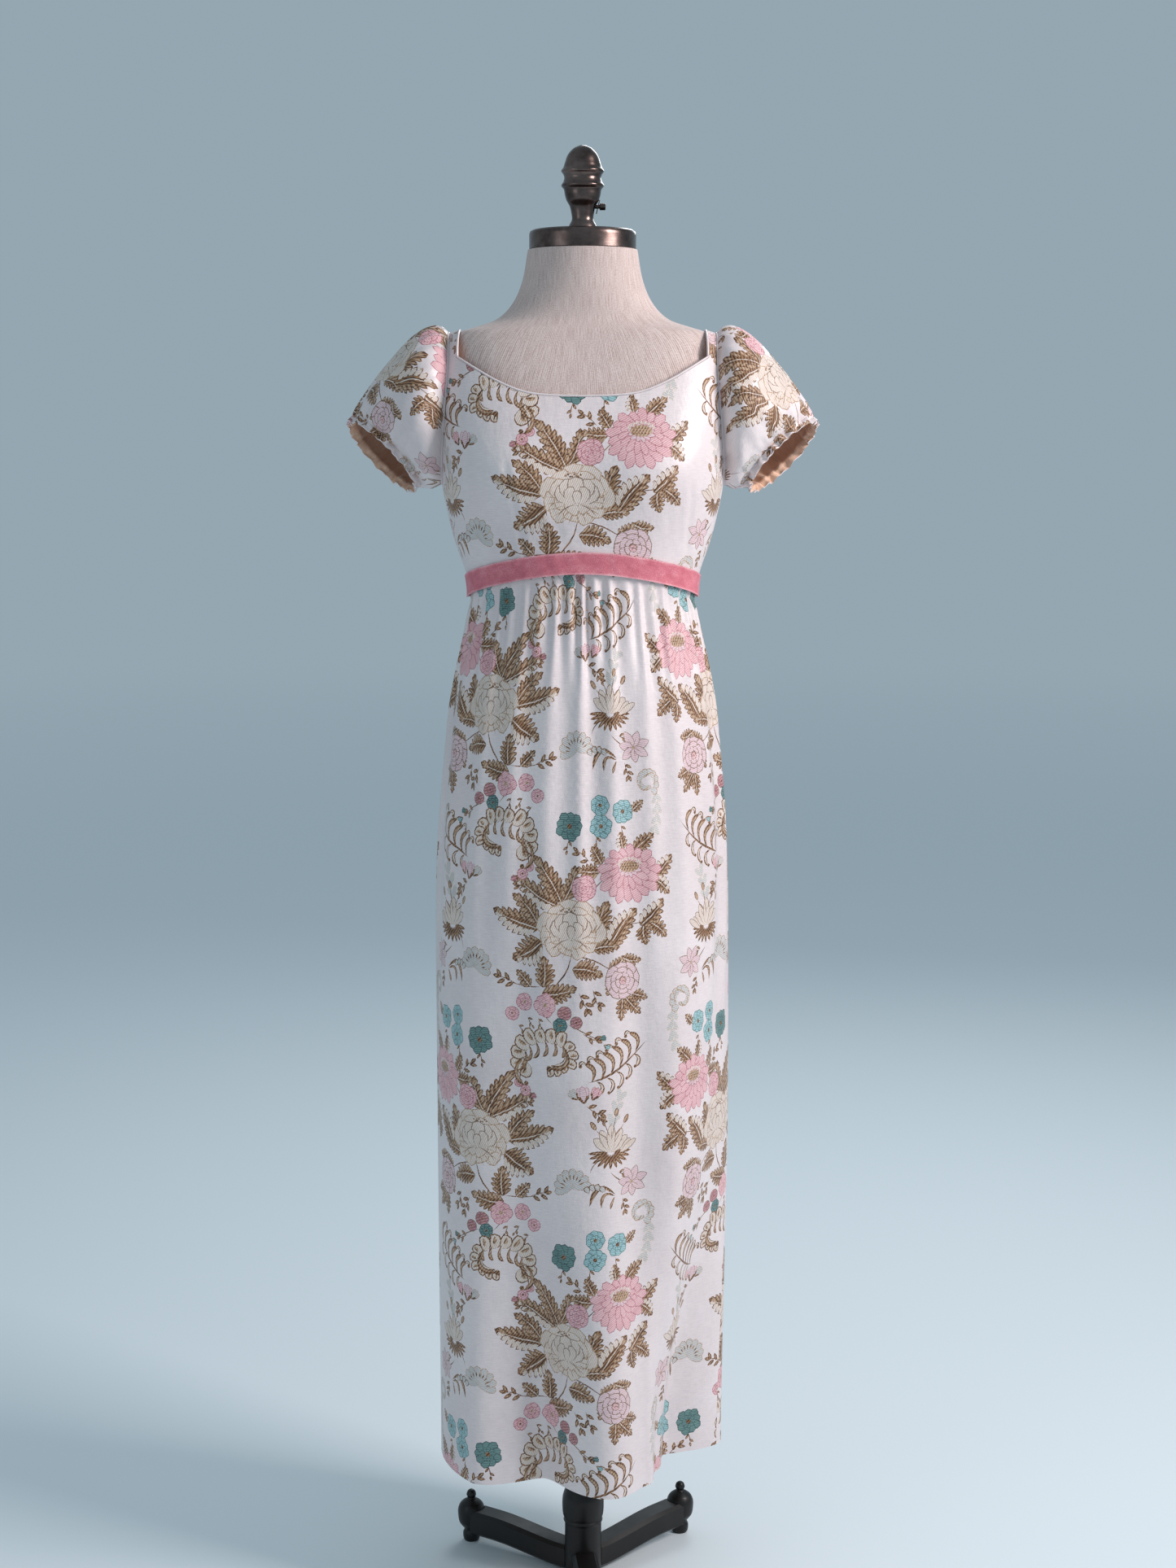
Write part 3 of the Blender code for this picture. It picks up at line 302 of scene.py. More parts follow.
def bodice_place(front, side, row):
    """Angle and height on the bodice; side runs from 0 in the middle to 1, row up to BODICE_ROWS."""
    low_turn, low_z = side_border(np.array(0.0))
    high_turn, high_z = side_border(np.array(float(BODICE_ROWS)))
    edge_turn, edge_z = side_border(row)
    share = np.where(row < 1, 0.075 * row, 0.075 + 0.925 * (row - 1) / 11)

    def at(side, top_turn, top_z):
        bottom_turn = side * np.pi / 2
        bottom_z = band_middle(bottom_turn if front else np.pi) + SEAM_GAP
        turn = bottom_turn + (top_turn - bottom_turn) * share
        turn = turn + side * (edge_turn - low_turn - (high_turn - low_turn) * share)
        z = bottom_z + (top_z - bottom_z) * share
        return turn, z + side * (edge_z - low_z - (high_z - low_z) * share)

    inner = np.minimum(side, STRAP_SIDE)
    turn, z = at(inner, *neckline_border(inner * 9 / 8 * NECKLINE[-1, 0], front))
    last_turn, last_z = at(np.ones_like(side), high_turn, high_z)
    rest = strap_share(side)
    return turn + (last_turn - turn) * rest, z + (last_z - z) * rest


def bodice_point(front, side, row):
    def on_gown(turn, z):
        angle = turn if front else np.pi - turn
        return polar(gown_radius(angle, z), angle, z)

    edge = armhole_row(row)
    edge[..., 1] *= 1 if front else -1
    meet = edge - on_gown(*side_border(row))
    rest = np.where(row > SEAM_ROWS, strap_share(side), 0.0)
    return on_gown(*bodice_place(front, side, row)) + meet * rest[..., None]


def dart_dent(points):
    """How far the darts and the small pulls beside them draw the cloth in, at points of the bodice front."""
    dent = np.zeros(points.shape[:-1])
    for x0, z0, x1, z1 in DARTS:
        share = (points[..., 2] - z0) / (z1 - z0)
        off = points[..., 0] - (x0 + (x1 - x0) * share)
        near = smoothstep((share + 0.25) / 0.25) * (1 - smoothstep((share - 0.80) / 0.25))
        seam = 0.0012 * ridge(off, 0.0022) - 0.0006 * ridge(np.abs(off) - 0.006, 0.004)
        dent = dent + near * seam
        for reach, lean in ((0.016, 0.35), (0.030, 0.6)):
            pull = off + np.sign(x0) * reach - lean * 0.03 * (1 - share)
            dent = dent + 0.0007 * near * ridge(pull, 0.0045) * (1 - smoothstep(np.abs(share - 0.4) / 0.5))
    return dent


def strap_point(front, share, across):
    """Strap from its foot (share 0) over to the shoulder, and from the neck (across 0) to the armhole."""
    flip = 1 if front else -1
    foot = bodice_point(front, np.full_like(share, STRAP_SIDE), np.full_like(share, BODICE_ROWS))
    edge = armhole_point(STRAP_TURN + (np.pi - STRAP_TURN) * share)
    edge[..., 1] *= flip
    neck = np.stack([
        foot[..., 0] + (STRAP_TOP[0] - foot[..., 0]) * share,
        foot[..., 1] * np.cos(share * np.pi / 2),
        foot[..., 2] + (STRAP_TOP[1] - foot[..., 2]) * np.sin(share * np.pi / 2),
    ], -1)
    return neck + (edge - neck) * across[..., None]


def cuff_point(turn, out):
    """Ring of the elastic; turn is 0 on top and pi/2 in front, and out moves it along the cuff's axis."""
    long_axis = CUFF_LONG_AXIS - CUFF_NORMAL * (CUFF_LONG_AXIS @ CUFF_NORMAL)
    long_axis /= np.linalg.norm(long_axis)
    short_axis = np.cross(long_axis, CUFF_NORMAL)
    short_axis *= -np.sign(short_axis[1])
    half_long, half_short = CUFF_HALVES
    ring = np.cos(turn)[..., None] * long_axis * half_long
    ring = ring + np.sin(turn)[..., None] * short_axis * half_short
    return CUFF_CENTRE + ring + CUFF_NORMAL * (out - CUFF_FRILL)[..., None]


def sleeve_grid(turns, shares):
    """Rings of the left sleeve; shares run from 0 at the armhole to 1 at the elastic and 2 at the edge."""
    turn, share = np.meshgrid(turns, shares)
    up, forward = np.cos(turn), np.sin(turn)
    t = np.minimum(share, 1.0)[..., None]
    start = armhole_point(np.pi - turn) + (2 * SEAM_GAP, 0, 0)
    end = cuff_point(turn, CUFF_FRILL * np.maximum(share - 1, 0))
    leave = np.stack([0.065 + 0.025 * up, -0.12 * forward, 0.04 + 0.06 * up], -1)
    arrive = np.stack([0.02 - 0.01 * up, 0.12 * forward, -0.025 - 0.025 * up], -1)
    ring = sum(weight * part for weight, part in zip(curve_weights(t), (start, end, leave, arrive)))
    outward = ring - ring[:, :-1].mean(1, keepdims=True)
    outward /= np.linalg.norm(outward, axis=-1, keepdims=True)
    head = 0.0018 * smoothstep(share / 0.10) * (1 - smoothstep((share - 0.12) / 0.45))
    cuff = 0.0014 * smoothstep((share - 0.60) / 0.35) * np.where(share > 1, share, 1) ** 0.6
    uneven = 1 + 0.35 * np.sin(5 * turn + 0.7) + 0.2 * np.sin(9 * turn + 2)
    rise = head * np.maximum(0, up) * np.cos(24 * turn + 0.5 * np.sin(5 * turn)) * uneven
    rise = rise + cuff * np.cos(24 * turn + 1.5 * np.sin(3 * turn + 1) + 0.8 * np.sin(7 * turn)) * uneven
    rise = rise + 0.0016 * np.sin(8 * turn + 3 * share + 0.8) * np.sin(np.pi * np.minimum(share, 1)) ** 2
    rise = rise + 0.0012 * np.sin(13 * turn - 4 * share) * smoothstep((share - 0.3) / 0.4)
    elastic = -0.0012 * ridge(share - 1.0, 0.10)
    return ring + outward * (rise + elastic)[..., None]


# Brocade chart

# In millimetres: u runs to the right and v up, from the middle of the peony.
REPEAT_WIDE = 345.0
REPEAT_HIGH = 490.0
GLIDE = -115.0             # the mirrored column lies at GLIDE - u, half a repeat higher

shapes = []


def unit(vector):
    return vector / np.hypot(*vector)


def left_of(vector):
    return np.array((-vector[1], vector[0]))


def heading(lean):
    """Directions ahead and to the right, at some degrees clockwise from straight up."""
    ahead = np.array((math.sin(math.radians(lean)), math.cos(math.radians(lean))))
    return ahead, -left_of(ahead)


def ray(centre, angle, wide, high=None):
    """The place at an angle on an ellipse round a centre."""
    high = wide if high is None else high
    return np.array((centre[0] + wide * math.cos(angle), centre[1] + high * math.sin(angle)))


def paint(yarn, outline):
    """Adds a shape over the earlier ones, its points in anticlockwise order."""
    outline = np.asarray(outline, float)
    x, y = outline.T
    if x @ np.roll(y, -1) < y @ np.roll(x, -1):
        outline = outline[::-1]
    shapes.append((yarn, outline))


def petal(base, tip, width, root=0.9, end=0.5, bend=0.0, steps=4):
    """Outline from base to tip; root and end are the powers that narrow it, 0.5 round, 1 pointed."""
    base, tip = np.array(base, float), np.array(tip, float)
    along = tip - base
    across = unit(left_of(along))
    t = (1 - np.cos(np.pi * np.arange(steps + 2) / (steps + 1))) / 2
    half = t ** root * (1 - t) ** end
    half *= 0.5 * width / half.max()
    axis = base + t[:, None] * along + (4 * bend * t * (1 - t))[:, None] * across
    right = axis - half[:, None] * across
    left = axis + half[:, None] * across
    return np.vstack([right[:-1], left[:0:-1]])


def edged(yarn, edge, base, tip, width, line=0.7, **form):
    """A petal with a thin line of another yarn round it."""
    base, tip = np.array(base, float), np.array(tip, float)
    ahead = unit(tip - base)
    paint(edge, petal(base, tip, width, **form))
    paint(yarn, petal(base + ahead * line * 0.3, tip - ahead * line, width - 2 * line, **form))


def stroke(yarn, start, middle, end, width, head=0.5, steps=5):
    """A curved line from start by middle to end, widest at the share called head."""
    start, middle, end = (np.array(point, float) for point in (start, middle, end))
    control = 2 * middle - (start + end) / 2
    t = np.linspace(0, 1, steps + 2)[:, None]
    path = (1 - t) ** 2 * start + 2 * t * (1 - t) * control + t ** 2 * end
    tangent = np.gradient(path, axis=0)
    normal = np.stack([-tangent[:, 1], tangent[:, 0]], 1)
    normal /= np.hypot(normal[:, 0], normal[:, 1])[:, None]
    swell = np.where(t < head, t / head, (1 - t) / (1 - head)) ** 0.55
    half = 0.5 * width * swell
    paint(yarn, np.vstack([(path - normal * half)[:-1], (path + normal * half)[:0:-1]]))


def dot(yarn, centre, radius, sides=6):
    turns = 2 * np.pi * np.arange(sides) / sides
    paint(yarn, np.array(centre, float) + radius * np.stack([np.cos(turns), np.sin(turns)], 1))


# Widths of the pale vein on the lobes of a leaf's right and left half; above 1 it is cream
EVEN, DARK, PALE = (0.45, 0.75), (0.50, 0.85), (0.70, 1.25)


def leaf(base, tip, width, bend=0.0, teeth=5, veins=EVEN):
    """A leaf of finger-like lobes that point to its tip, its halves striped by light veins."""
    base, tip = np.array(base, float), np.array(tip, float)
    along = tip - base
    across = unit(left_of(along))
    length = np.hypot(*along)
    width = 1.16 * width

    def at(t, reach):
        half = 0.5 * width * math.sin(math.pi * min(max(t, 0.0), 1.0) ** 0.85) ** 0.7
        return base + t * along + (4 * bend * t * (1 - t) + half * reach) * across

    step = 0.80 / teeth
    paint("brown", petal(base, tip, width * 0.42, 0.7, 0.8, bend))
    lobes = []
    for k in reversed(range(teeth)):
        for side, share in zip((-1, 1), veins):
            root, end = at(step * k, 0.05 * side), at(step * k + 0.26, side)
            wide = step * length * 0.90
            paint("brown", petal(root, end, wide, 0.7, 0.5, -1.2 * side, 3))
            vein = petal(root * 0.72 + end * 0.28, root * 0.08 + end * 0.92, share * wide * 0.62,
                         0.6, 0.6, -0.9 * side, 2)
            lobes.append(("cream" if share > 1 else "tan", vein))
    paint("brown", petal(at(0.62, 0), tip, width * 0.34, 0.6, 0.6, steps=3))
    for yarn, vein in lobes:
        paint(yarn, vein)
    paint("tan", petal(at(0.70, 0), at(0.96, 0), width * 0.10, 0.6, 0.6, steps=1))
    paint("cream", petal(at(-0.04, 0), at(0.84, 0), 1.3, 0.3, 0.5, bend * 0.95, 3))


def burst(yarn, edge, focus, centre, radii, count, width, start=0.0, **form):
    """Petals from a focus to tips on an ellipse."""
    for k in range(count):
        uneven = 1 + 0.05 * math.sin(3.1 * k + start)
        tip = ray(centre, math.radians(start) + 2 * math.pi * k / count, radii[0] * uneven,
                  radii[1] * uneven)
        reach = math.hypot(tip[0] - focus[0], tip[1] - focus[1]) / max(radii)
        edged(yarn, edge, focus, tip, width * (0.75 + 0.25 * reach), **form)


def peony(u, v):
    """Broad ruffled petals round a cup that opens upward."""
    burst("cream", "tan", (u, v - 9), (u, v + 1), (40, 32), 11, 25, 96, end=0.30, line=1.0, steps=5)
    burst("cream", "tan", (u + 2, v - 6), (u + 1, v + 3), (30, 23), 8, 22, 70, end=0.32, line=1.0,
          steps=5)
    for k in range(13):
        reach = ray((0, 0), math.radians(170 + 200 * k / 12), 31, 24)
        root = np.array((u, v - 7.0))
        stroke("tan", root + 0.50 * reach, root + 0.80 * reach + (0.9, 0.5), root + 1.12 * reach, 1.1,
               steps=2)
    for low, right, up, width, line, end, bend in (
        (-9, -22, 9, 17, 0.9, 0.35, 4), (-9, -14, 17, 17, 0.9, 0.35, 3), (-9, 22, 9, 17, 0.9, 0.35, -4),
        (-9, 14, 17, 17, 0.9, 0.35, -3), (-10, -2, 20, 19, 1.0, 0.36, 0),
        (-12, -9, 9, 14, 0.9, 0.36, 3), (-12, 9, 9, 14, 0.9, 0.36, -3), (-12, 0, 5, 11, 0.9, 0.40, 0),
    ):
        edged("cream", "umber", (u, v + low), (u + right, v + up), width, line, end=end, bend=bend)
    for side in (-1, 1):
        stroke("umber", (u + 2 * side, v - 11), (u + 13 * side, v - 15), (u + 22 * side, v - 25), 1.2)
    for k in range(8):
        dot("brown", (u - 12 + 2.3 * k, v + 20.5 + 1.6 * math.sin(1.9 * k)), 1.2, 5)


def dahlia(u, v):
    """Full head of long petals, seen a little from above."""
    for yarn, up, radii, count, width, start, end, line in (
        ("pink", 0, (39, 33), 18, 13.0, 8, 0.42, 0.9), ("pink", 2, (26, 20), 14, 9.5, 0, 0.5, 0.85),
        ("blush", 7, (16, 11), 12, 6.5, 12, 0.6, 0.8),
    ):
        burst(yarn, "rose", (u, v + 7), (u, v + up), radii, count, width, start, root=0.75, end=end,
              line=line)
    paint("tan", [ray((u, v + 9), math.radians(30 * k), 12.5, 6.5) for k in range(12)])
    for row in range(3):
        for k in range(6):
            dot("brown", (u - 9 + 3.4 * k + 0.9 * (row % 2), v + 6.2 + 2.9 * row), 1.1, 4)
    for k in range(9):
        dot("cream", ray((u, v + 9.5), math.radians(20 + 17.5 * k), 14.5, 8.5), 1.9, 5)


def rose(u, v, size=1.0, yarn="blush", edge="umber"):
    for ring, (count, reach, width) in enumerate(((8, 23, 18), (6, 16.5, 15), (5, 10.5, 11))):
        burst(yarn, edge, (u, v), (u, v), (reach * size, reach * 0.95 * size), count,
              width * size, 25 * ring + 10, end=0.32, line=0.9)
    burst("pink", edge, (u, v), (u, v), (5.5 * size, 5 * size), 4, 6 * size, 30, end=0.4, line=0.8)
    stroke(edge, (u - 4 * size, v + 1), (u, v + 4 * size), (u + 4 * size, v), 1.2)
    stroke(edge, (u - 3 * size, v - 2), (u + 1, v), (u + 3 * size, v - 3 * size), 1.2)


def floret(u, v, radius, yarn, edge, petals=5, heart="brown", start=0.0):
    """A small double flower, its inner petals turned against the outer."""
    burst(yarn, edge, (u, v), (u, v), (radius, radius), petals, 5.6 * radius / petals, start,
          root=0.8, end=0.42, line=0.8, steps=3)
    burst(yarn, edge, (u, v), (u, v), (0.55 * radius, 0.55 * radius), petals, 3.4 * radius / petals,
          start + 180 / petals, end=0.5, line=0.75, steps=2)
    dot(heart, (u, v), max(0.17 * radius, 1.3), 5)


def comma(yarn, light, start, middle, end, width):
    """A swelling curl with a light line along it."""
    stroke(yarn, start, middle, end, width, 0.72, 7)
    start, middle, end = (np.array(point, float) for point in (start, middle, end))
    stroke(light, 0.7 * start + 0.3 * middle, middle, 0.16 * middle + 0.84 * end, width * 0.46,
           0.74, 4)


def scroll(u, v):
    """Acanthus arch that curls in at one end: lobes outside its spine and curls inside it."""
    def spine(t):
        shrink = 1 - 0.42 * max(0.0, t - 0.60) / 0.40
        return ray((u, v - 6), math.radians(212 - 292 * t), 30 * shrink, 21 * shrink)

    for k in range(14):
        t = k / 13
        here, ahead = spine(t), unit(spine(t + 0.01) - spine(t - 0.01))
        out = unit(left_of(ahead) - 0.25 * ahead)
        reach = (20 - 12 * t + 2.0 * math.sin(2.1 * k)) * min(1.0, 0.7 + 2 * t)
        edged("cream", "brown", here - out * 4, here + out * reach, 18 - 8 * t, line=1.4,
              root=0.4, end=0.32, bend=1.6)
        paint("tan", petal(here + out * 1.5, here + out * reach * 0.78, 5.2 - 2.6 * t, 0.6, 0.6, 1.0, 3))
        stroke("brown", here, here + out * reach * 0.42 + np.array((0.6, 0)),
               here + out * reach * 0.70, 2.0 - 0.8 * t, 0.3, 2)
    for k in range(7):
        here = spine(0.10 + 0.075 * k)
        size = 13 + 7 * math.sin(math.pi * (k + 0.5) / 7)
        comma("brown", "tan", here, here + size * np.array((0.16, -0.62)),
              here + size * np.array((-0.34 + 0.05 * k, -1.0)), 5.0)
    comma("brown", "tan", spine(0.56), spine(0.78), spine(1.0), 7.5)
    comma("brown", "cream", spine(0.60), spine(0.76) - (5, 1), spine(0.93) - (5, -4), 4.4)
    dot("brown", spine(1.0), 3.4)
    comma("brown", "tan", (u - 30, v - 6), (u - 39, v - 26), (u - 28, v - 40), 5.6)
    stroke("brown", (u - 24, v - 10), (u - 33, v - 24), (u - 33, v - 36), 1.6)
    dot("brown", (u - 26, v - 37), 3.0)


def frond(u, v):
    """Feathered spray of hooked curls along a rising spine."""
    def spine(t):
        return np.array((u - 36 + 74 * t, v - 22 + 44 * t ** 1.7))

    stroke("brown", spine(0), spine(0.55), spine(1.0), 2.8, 0.3)
    for k in range(6):
        root = spine(0.06 + 0.15 * k)
        size = 19 + 10 * math.sin(math.pi * (0.15 + 0.13 * k))
        middle = root + size * np.array((0.10, 0.62))
        end = root + size * np.array((-0.42, 0.92))
        comma("brown", "tan", root, middle, end, 6.4)
        comma("brown", "cream", middle * 0.45 + end * 0.55, end + size * np.array((-0.04, 0.05)),
              end + size * np.array((-0.16, -0.16)), 4.6)
        dot("brown", end + size * np.array((-0.12, -0.14)), 2.3)
    for k in range(5):
        root = spine(0.14 + 0.16 * k)
        size = 14 + 6 * math.sin(math.pi * (k + 0.5) / 5)
        end = root + size * np.array((0.18, -1.0))
        comma("brown", "cream", root, root + size * np.array((0.42, -0.40)), end, 5.6)
        dot("brown", end + (-0.8, 1.4), 2.0)


def lily(u, v):
    centre = np.array((u, v), float)
    for k in range(11):
        angle = math.radians(180 + 18 * k)
        base, tip = ray((u, v - 5), angle, 4, 3), ray((u, v - 6), angle, 27, 19)
        paint("brown", petal(base, tip, 4.6, 0.8, 0.7, steps=3))
        paint("tan", petal(base * 0.7 + tip * 0.3, base * 0.2 + tip * 0.8, 1.4, steps=1))
    for lean, size in ((-58, 25), (58, 26), (-30, 27), (32, 27), (0, 29)):
        tip = ray((u, v - 2), math.radians(90 - lean), size)
        away = tip - centre
        edged("cream", "umber", (u, v - 5), tip, 11.5, line=0.8, root=0.8, end=0.62)
        stroke("umber", centre + 0.3 * away, centre + 0.5 * away + (0.6, 0), centre + 0.75 * away, 1.0,
               steps=2)
    for side, low in ((-13, 22), (-6, 30), (4, 36), (12, 27)):
        stroke("brown", (u + side * 0.3, v + 12), (u + side * 0.9, v + low * 0.7),
               (u + side * 1.5, v + low), 1.0)
        edged("tan", "brown", (u + side * 1.4, v + low - 1), (u + side * 1.9, v + low + 9), 6.0,
              line=1.2, root=0.6, end=0.6, steps=3)


def open_flower(u, v):
    burst("blush", "umber", (u, v), (u, v + 1), (20, 19), 7, 10.5, 20, root=0.8, end=0.85, line=0.7)
    for k in range(7):
        angle = math.radians(20 + 360 * k / 7)
        stroke("umber", (u, v), ray((u, v), angle + 0.1, 5), ray((u, v), angle, 12), 0.8, steps=2)
    dot("tan", (u, v), 2.0)


def shell(u, v):
    for k in range(8):
        edged("mist", "tan", (u, v - 8), ray((u, v - 6), math.radians(200 - 190 * k / 7), 23, 22),
              10, line=0.7, root=0.9, end=0.4)
    for k in range(9):
        angle = math.radians(185 - 160 * k / 8)
        paint("brown", petal(ray((u, v - 7), angle, 9), ray((u, v - 6), angle, 15), 1.7, steps=1))


def c_curl(u, v):
    for start, middle, end, width in (
        ((18, 6), (-2, 15), (-13, -6), 6.0), ((17, 5), (4, 7), (1, -8), 4.4),
        ((17, 4), (14, -2), (12, -10), 3.6),
    ):
        comma("brown", "tan", *(np.array((u, v)) + place for place in (start, middle, end)), width)
    for k in range(4):
        base = (u - 14 + 6 * k, v + 9 + 3 * math.sin(k))
        edged("mist", "brown", base, (base[0] - 5, base[1] + 8), 7, line=1.0, end=0.4, steps=3)


def swirl(u, v):
    for k in range(12):
        angle = math.radians(-60 + 30 * k)
        reach = 19 - 0.9 * k
        edged("mist", "tan", ray((u, v), angle, 0.45 * reach), ray((u, v), angle + 0.3, reach), 8.5,
              line=0.8, root=0.7, end=0.4, steps=3)
    comma("tan", "mist", (u + 9, v - 8), (u + 9, v + 8), (u - 5, v + 4), 3.2)
    comma("tan", "mist", (u - 8, v + 4), (u - 6, v - 8), (u + 3, v - 4), 3.0)


def plume(points, width):
    """Pale tone-on-tone feather along a few points."""
    points = [np.array(point, float) for point in points]
    for low, high in zip(points, points[1:]):
        ahead = unit(high - low)
        for reach in (-1, 1):
            edged("mist", "cream", low - ahead * 2, high + left_of(ahead) * reach * width * 0.5,
                  width * 0.55, line=0.9, root=0.7, end=0.4, bend=-reach * 1.5, steps=3)


def bud(u, v, lean, size, yarn="rose", edge="umber"):
    ahead, side = heading(lean)
    base = np.array((u, v), float)
    for reach in (-1, 1):
        edged(yarn, edge, base, base + ahead * size * 0.92 + side * reach * size * 0.28, size * 0.5,
              line=0.6, root=0.6, end=0.5, steps=3)
    edged(yarn, edge, base, base + ahead * size, size * 0.45, line=0.6, root=0.6, end=0.5, steps=3)
    for reach in (-1, 1):
        paint("brown", petal(base - ahead * 2, base + ahead * size * 0.42 + side * reach * size * 0.34,
                             size * 0.2, steps=2))


def sprig(u, v, lean, size, count=3):
    """A twig with small leaves at its sides and end."""
    ahead, side = heading(lean)
    base = np.array((u, v), float)
    stroke("brown", base, base + ahead * size * 0.5 + side * size * 0.05, base + ahead * size * 0.9, 1.1)
    leaves = []
    for k in range(count):
        at = base + ahead * size * (0.15 + 0.8 * k / count)
        leaves.append((at, at + (ahead * 0.30 + side * (1 if k % 2 else -1) * 0.30) * size))
    leaves.append((base + ahead * size * 0.8, base + ahead * size * 1.15))
    for at, tip in leaves:
        paint("brown", petal(at, tip, size * 0.2, 0.6, 0.8, steps=3))
        paint("tan", petal(at * 0.75 + tip * 0.25, at * 0.15 + tip * 0.85, size * 0.07, steps=1))


def cream_petal(base, tip):
    edged("cream", "umber", base, tip, 8, line=0.8, root=0.8, end=0.6)


ROSY, DUSKY = ("pink", "rose"), ("rose", "umber")
DEEP, WATERY = ("teal", "deep_teal"), ("aqua", "teal")

# All motifs of one column, from the back to the front
COLUMN = (
    # stems
    *((stroke, "brown", *bow) for bow in (
        ((0, -24), (-8, -52), (-36, -76), 1.8), ((4, -30), (26, -34), (50, -48), 1.6),
        ((-10, -60), (-44, -66), (-76, -62), 1.2), ((28, -10), (60, 2), (98, 6), 1.4),
        ((10, 30), (26, 44), (42, 60), 1.4), ((-36, -78), (-34, -92), (-18, -110), 1.2),
        ((-4, -106), (14, -114), (40, -128), 1.2), ((48, 215), (60, 205), (74, 200), 1.4),
        ((46, 236), (30, 226), (24, 214), 1.2))),
    # leaves round the peony
    (leaf, (-12, 30), (-46, 82), 21, -2, 6, DARK), (leaf, (-16, 26), (-70, 58), 21, 3, 6, PALE),
    (leaf, (-9, 32), (4, 72), 17, -3, 5, DARK), (leaf, (-38, 0), (-96, 20), 25, 3, 7, PALE),
    (leaf, (-40, 6), (-72, 38), 18, -3, 5, DARK), (leaf, (-34, -14), (-71, -36), 31, 3, 6, PALE),
    (leaf, (30, -18), (44, 32), 28, 4, 7, DARK), (leaf, (46, -18), (80, 22), 26, 3, 6, PALE),
    (leaf, (84, 2), (112, 32), 21, -2, 5, PALE), (leaf, (96, 5), (116, -12), 17, 2, 4, DARK),
    (leaf, (88, 2), (92, -20), 17, -2, 4), (leaf, (26, -22), (58, -20), 15, 2, 5, DARK),
    (leaf, (-32, -66), (-32, -30), 22, -2, 5), (leaf, (2, -44), (38, -52), 22, 3, 6, DARK),
    (leaf, (-34, -74), (8, -64), 21, -3, 6, DARK), (leaf, (-48, -66), (-66, -48), 14, 0, 4),
    (sprig, -66, -64, -72, 26, 4),
    # leaves round the dahlia and the rose
    (leaf, (34, 64), (4, 68), 17, 2, 5, DARK), (leaf, (36, 72), (24, 92), 15, 0, 4),
    (leaf, (100, 58), (124, 80), 18, -2, 4, PALE), (leaf, (100, 54), (120, 36), 17, 2, 4, PALE),
    (leaf, (76, 86), (100, 106), 17), (leaf, (62, 88), (58, 108), 14, 0, 4, PALE),
    (sprig, 22, 74, -50, 24),
    (leaf, (44, -44), (64, -30), 15, -3, 5, DARK), (leaf, (62, -32), (86, -36), 15, -3, 5, DARK),
    (leaf, (46, -48), (42, -74), 15, 4, 5, DARK), (leaf, (66, -78), (86, -98), 15, 0, 4),
    (leaf, (62, -78), (60, -104), 15, 0, 4), (leaf, (74, -74), (94, -80), 14, 0, 4),
    (sprig, 10, -70, 150, 26, 4), (sprig, 26, -66, 160, 24),
    (peony, 0, 0), (dahlia, 70, 60), (rose, 62, -58), (rose, 15, 46, 0.68, *ROSY),
    # small pink flowers at the left
    (sprig, -50, 42, -72, 20), (floret, -60, 60, 7, *ROSY), (floret, -51, 68, 5.5, *ROSY),
    (bud, -66, 52, -60, 9),
    # posy below
    *((sprig, u, v, 200 + u, 14, 2) for u, v in ((-52, -100), (-64, -110), (-38, -100), (-18, -112))),
    (floret, -56, -84, 10.5, *ROSY, 6, "tan", 10), (floret, -30, -86, 14, *ROSY, 7, "tan", 30),
    (floret, -71, -98, 8.5, *ROSY, 5, "brown", 20), (floret, -7, -94, 8.5, *DUSKY, 5, "brown", 40),
    (floret, 7, -104, 7.5, *DUSKY), (floret, -12, -108, 9, *DEEP, 7), (sprig, 14, -116, 115, 22),
    (bud, 34, -122, 80, 8, *DEEP), (bud, 40, -130, 120, 7, *WATERY), (scroll, -28, -140),
    # teal and aqua above the dahlia
    *((sprig, u, v, 190 - u * 0.4, 16, 2) for u, v in ((-4, 100), (30, 104), (60, 116))),
    (floret, -4, 114, 17, *DEEP, 9, "brown", 5), (floret, 35, 114, 14, *WATERY, 8, "brown", 20),
    (floret, 34, 137, 12, *WATERY, 7), (floret, 62, 130, 14, *WATERY, 8, "brown", 12),
    (leaf, (74, 130), (88, 142), 11, 0, 4),
    # upper group: shell, curls, lily, open flower, swirl, frond and buds
    (plume, ((104, 150), (106, 138), (106, 126), (104, 114), (100, 104)), 13),
    (plume, ((48, 268), (52, 282), (57, 296), (64, 308)), 15),
    (shell, 4, 204), (c_curl, 38, 182), (swirl, 93, 162), (sprig, 66, 184, 160, 20, 4),
    (sprig, 58, 214, 110, 16), (open_flower, 78, 200), (lily, 48, 243),
    (cream_petal, (60, 236), (74, 251)), (cream_petal, (60, 236), (82, 249)),
    (frond, 56, 340), (bud, 16, 296, -8, 19, "blush", "rose"), (bud, 26, 300, 28, 15, *ROSY),
    (bud, 8, 300, -45, 13, "mist", "tan"), (sprig, 18, 292, 120, 24), (sprig, 30, 286, 150, 18),
)


# Cloth: brocade is laid flat, cut out with all its coloured shapes, and placed on the surface

def grid_triangles(numbers):
    """Two triangles for each cell of a grid of vertex numbers."""
    a, b = numbers[:-1, :-1].ravel(), numbers[:-1, 1:].ravel()
    c, d = numbers[1:, 1:].ravel(), numbers[1:, :-1].ravel()
    return np.vstack([np.stack([a, b, c], 1), np.stack([a, c, d], 1)])


def sides_of(triangles):
    return np.vstack([triangles[:, [0, 1]], triangles[:, [1, 2]], triangles[:, [2, 0]]])


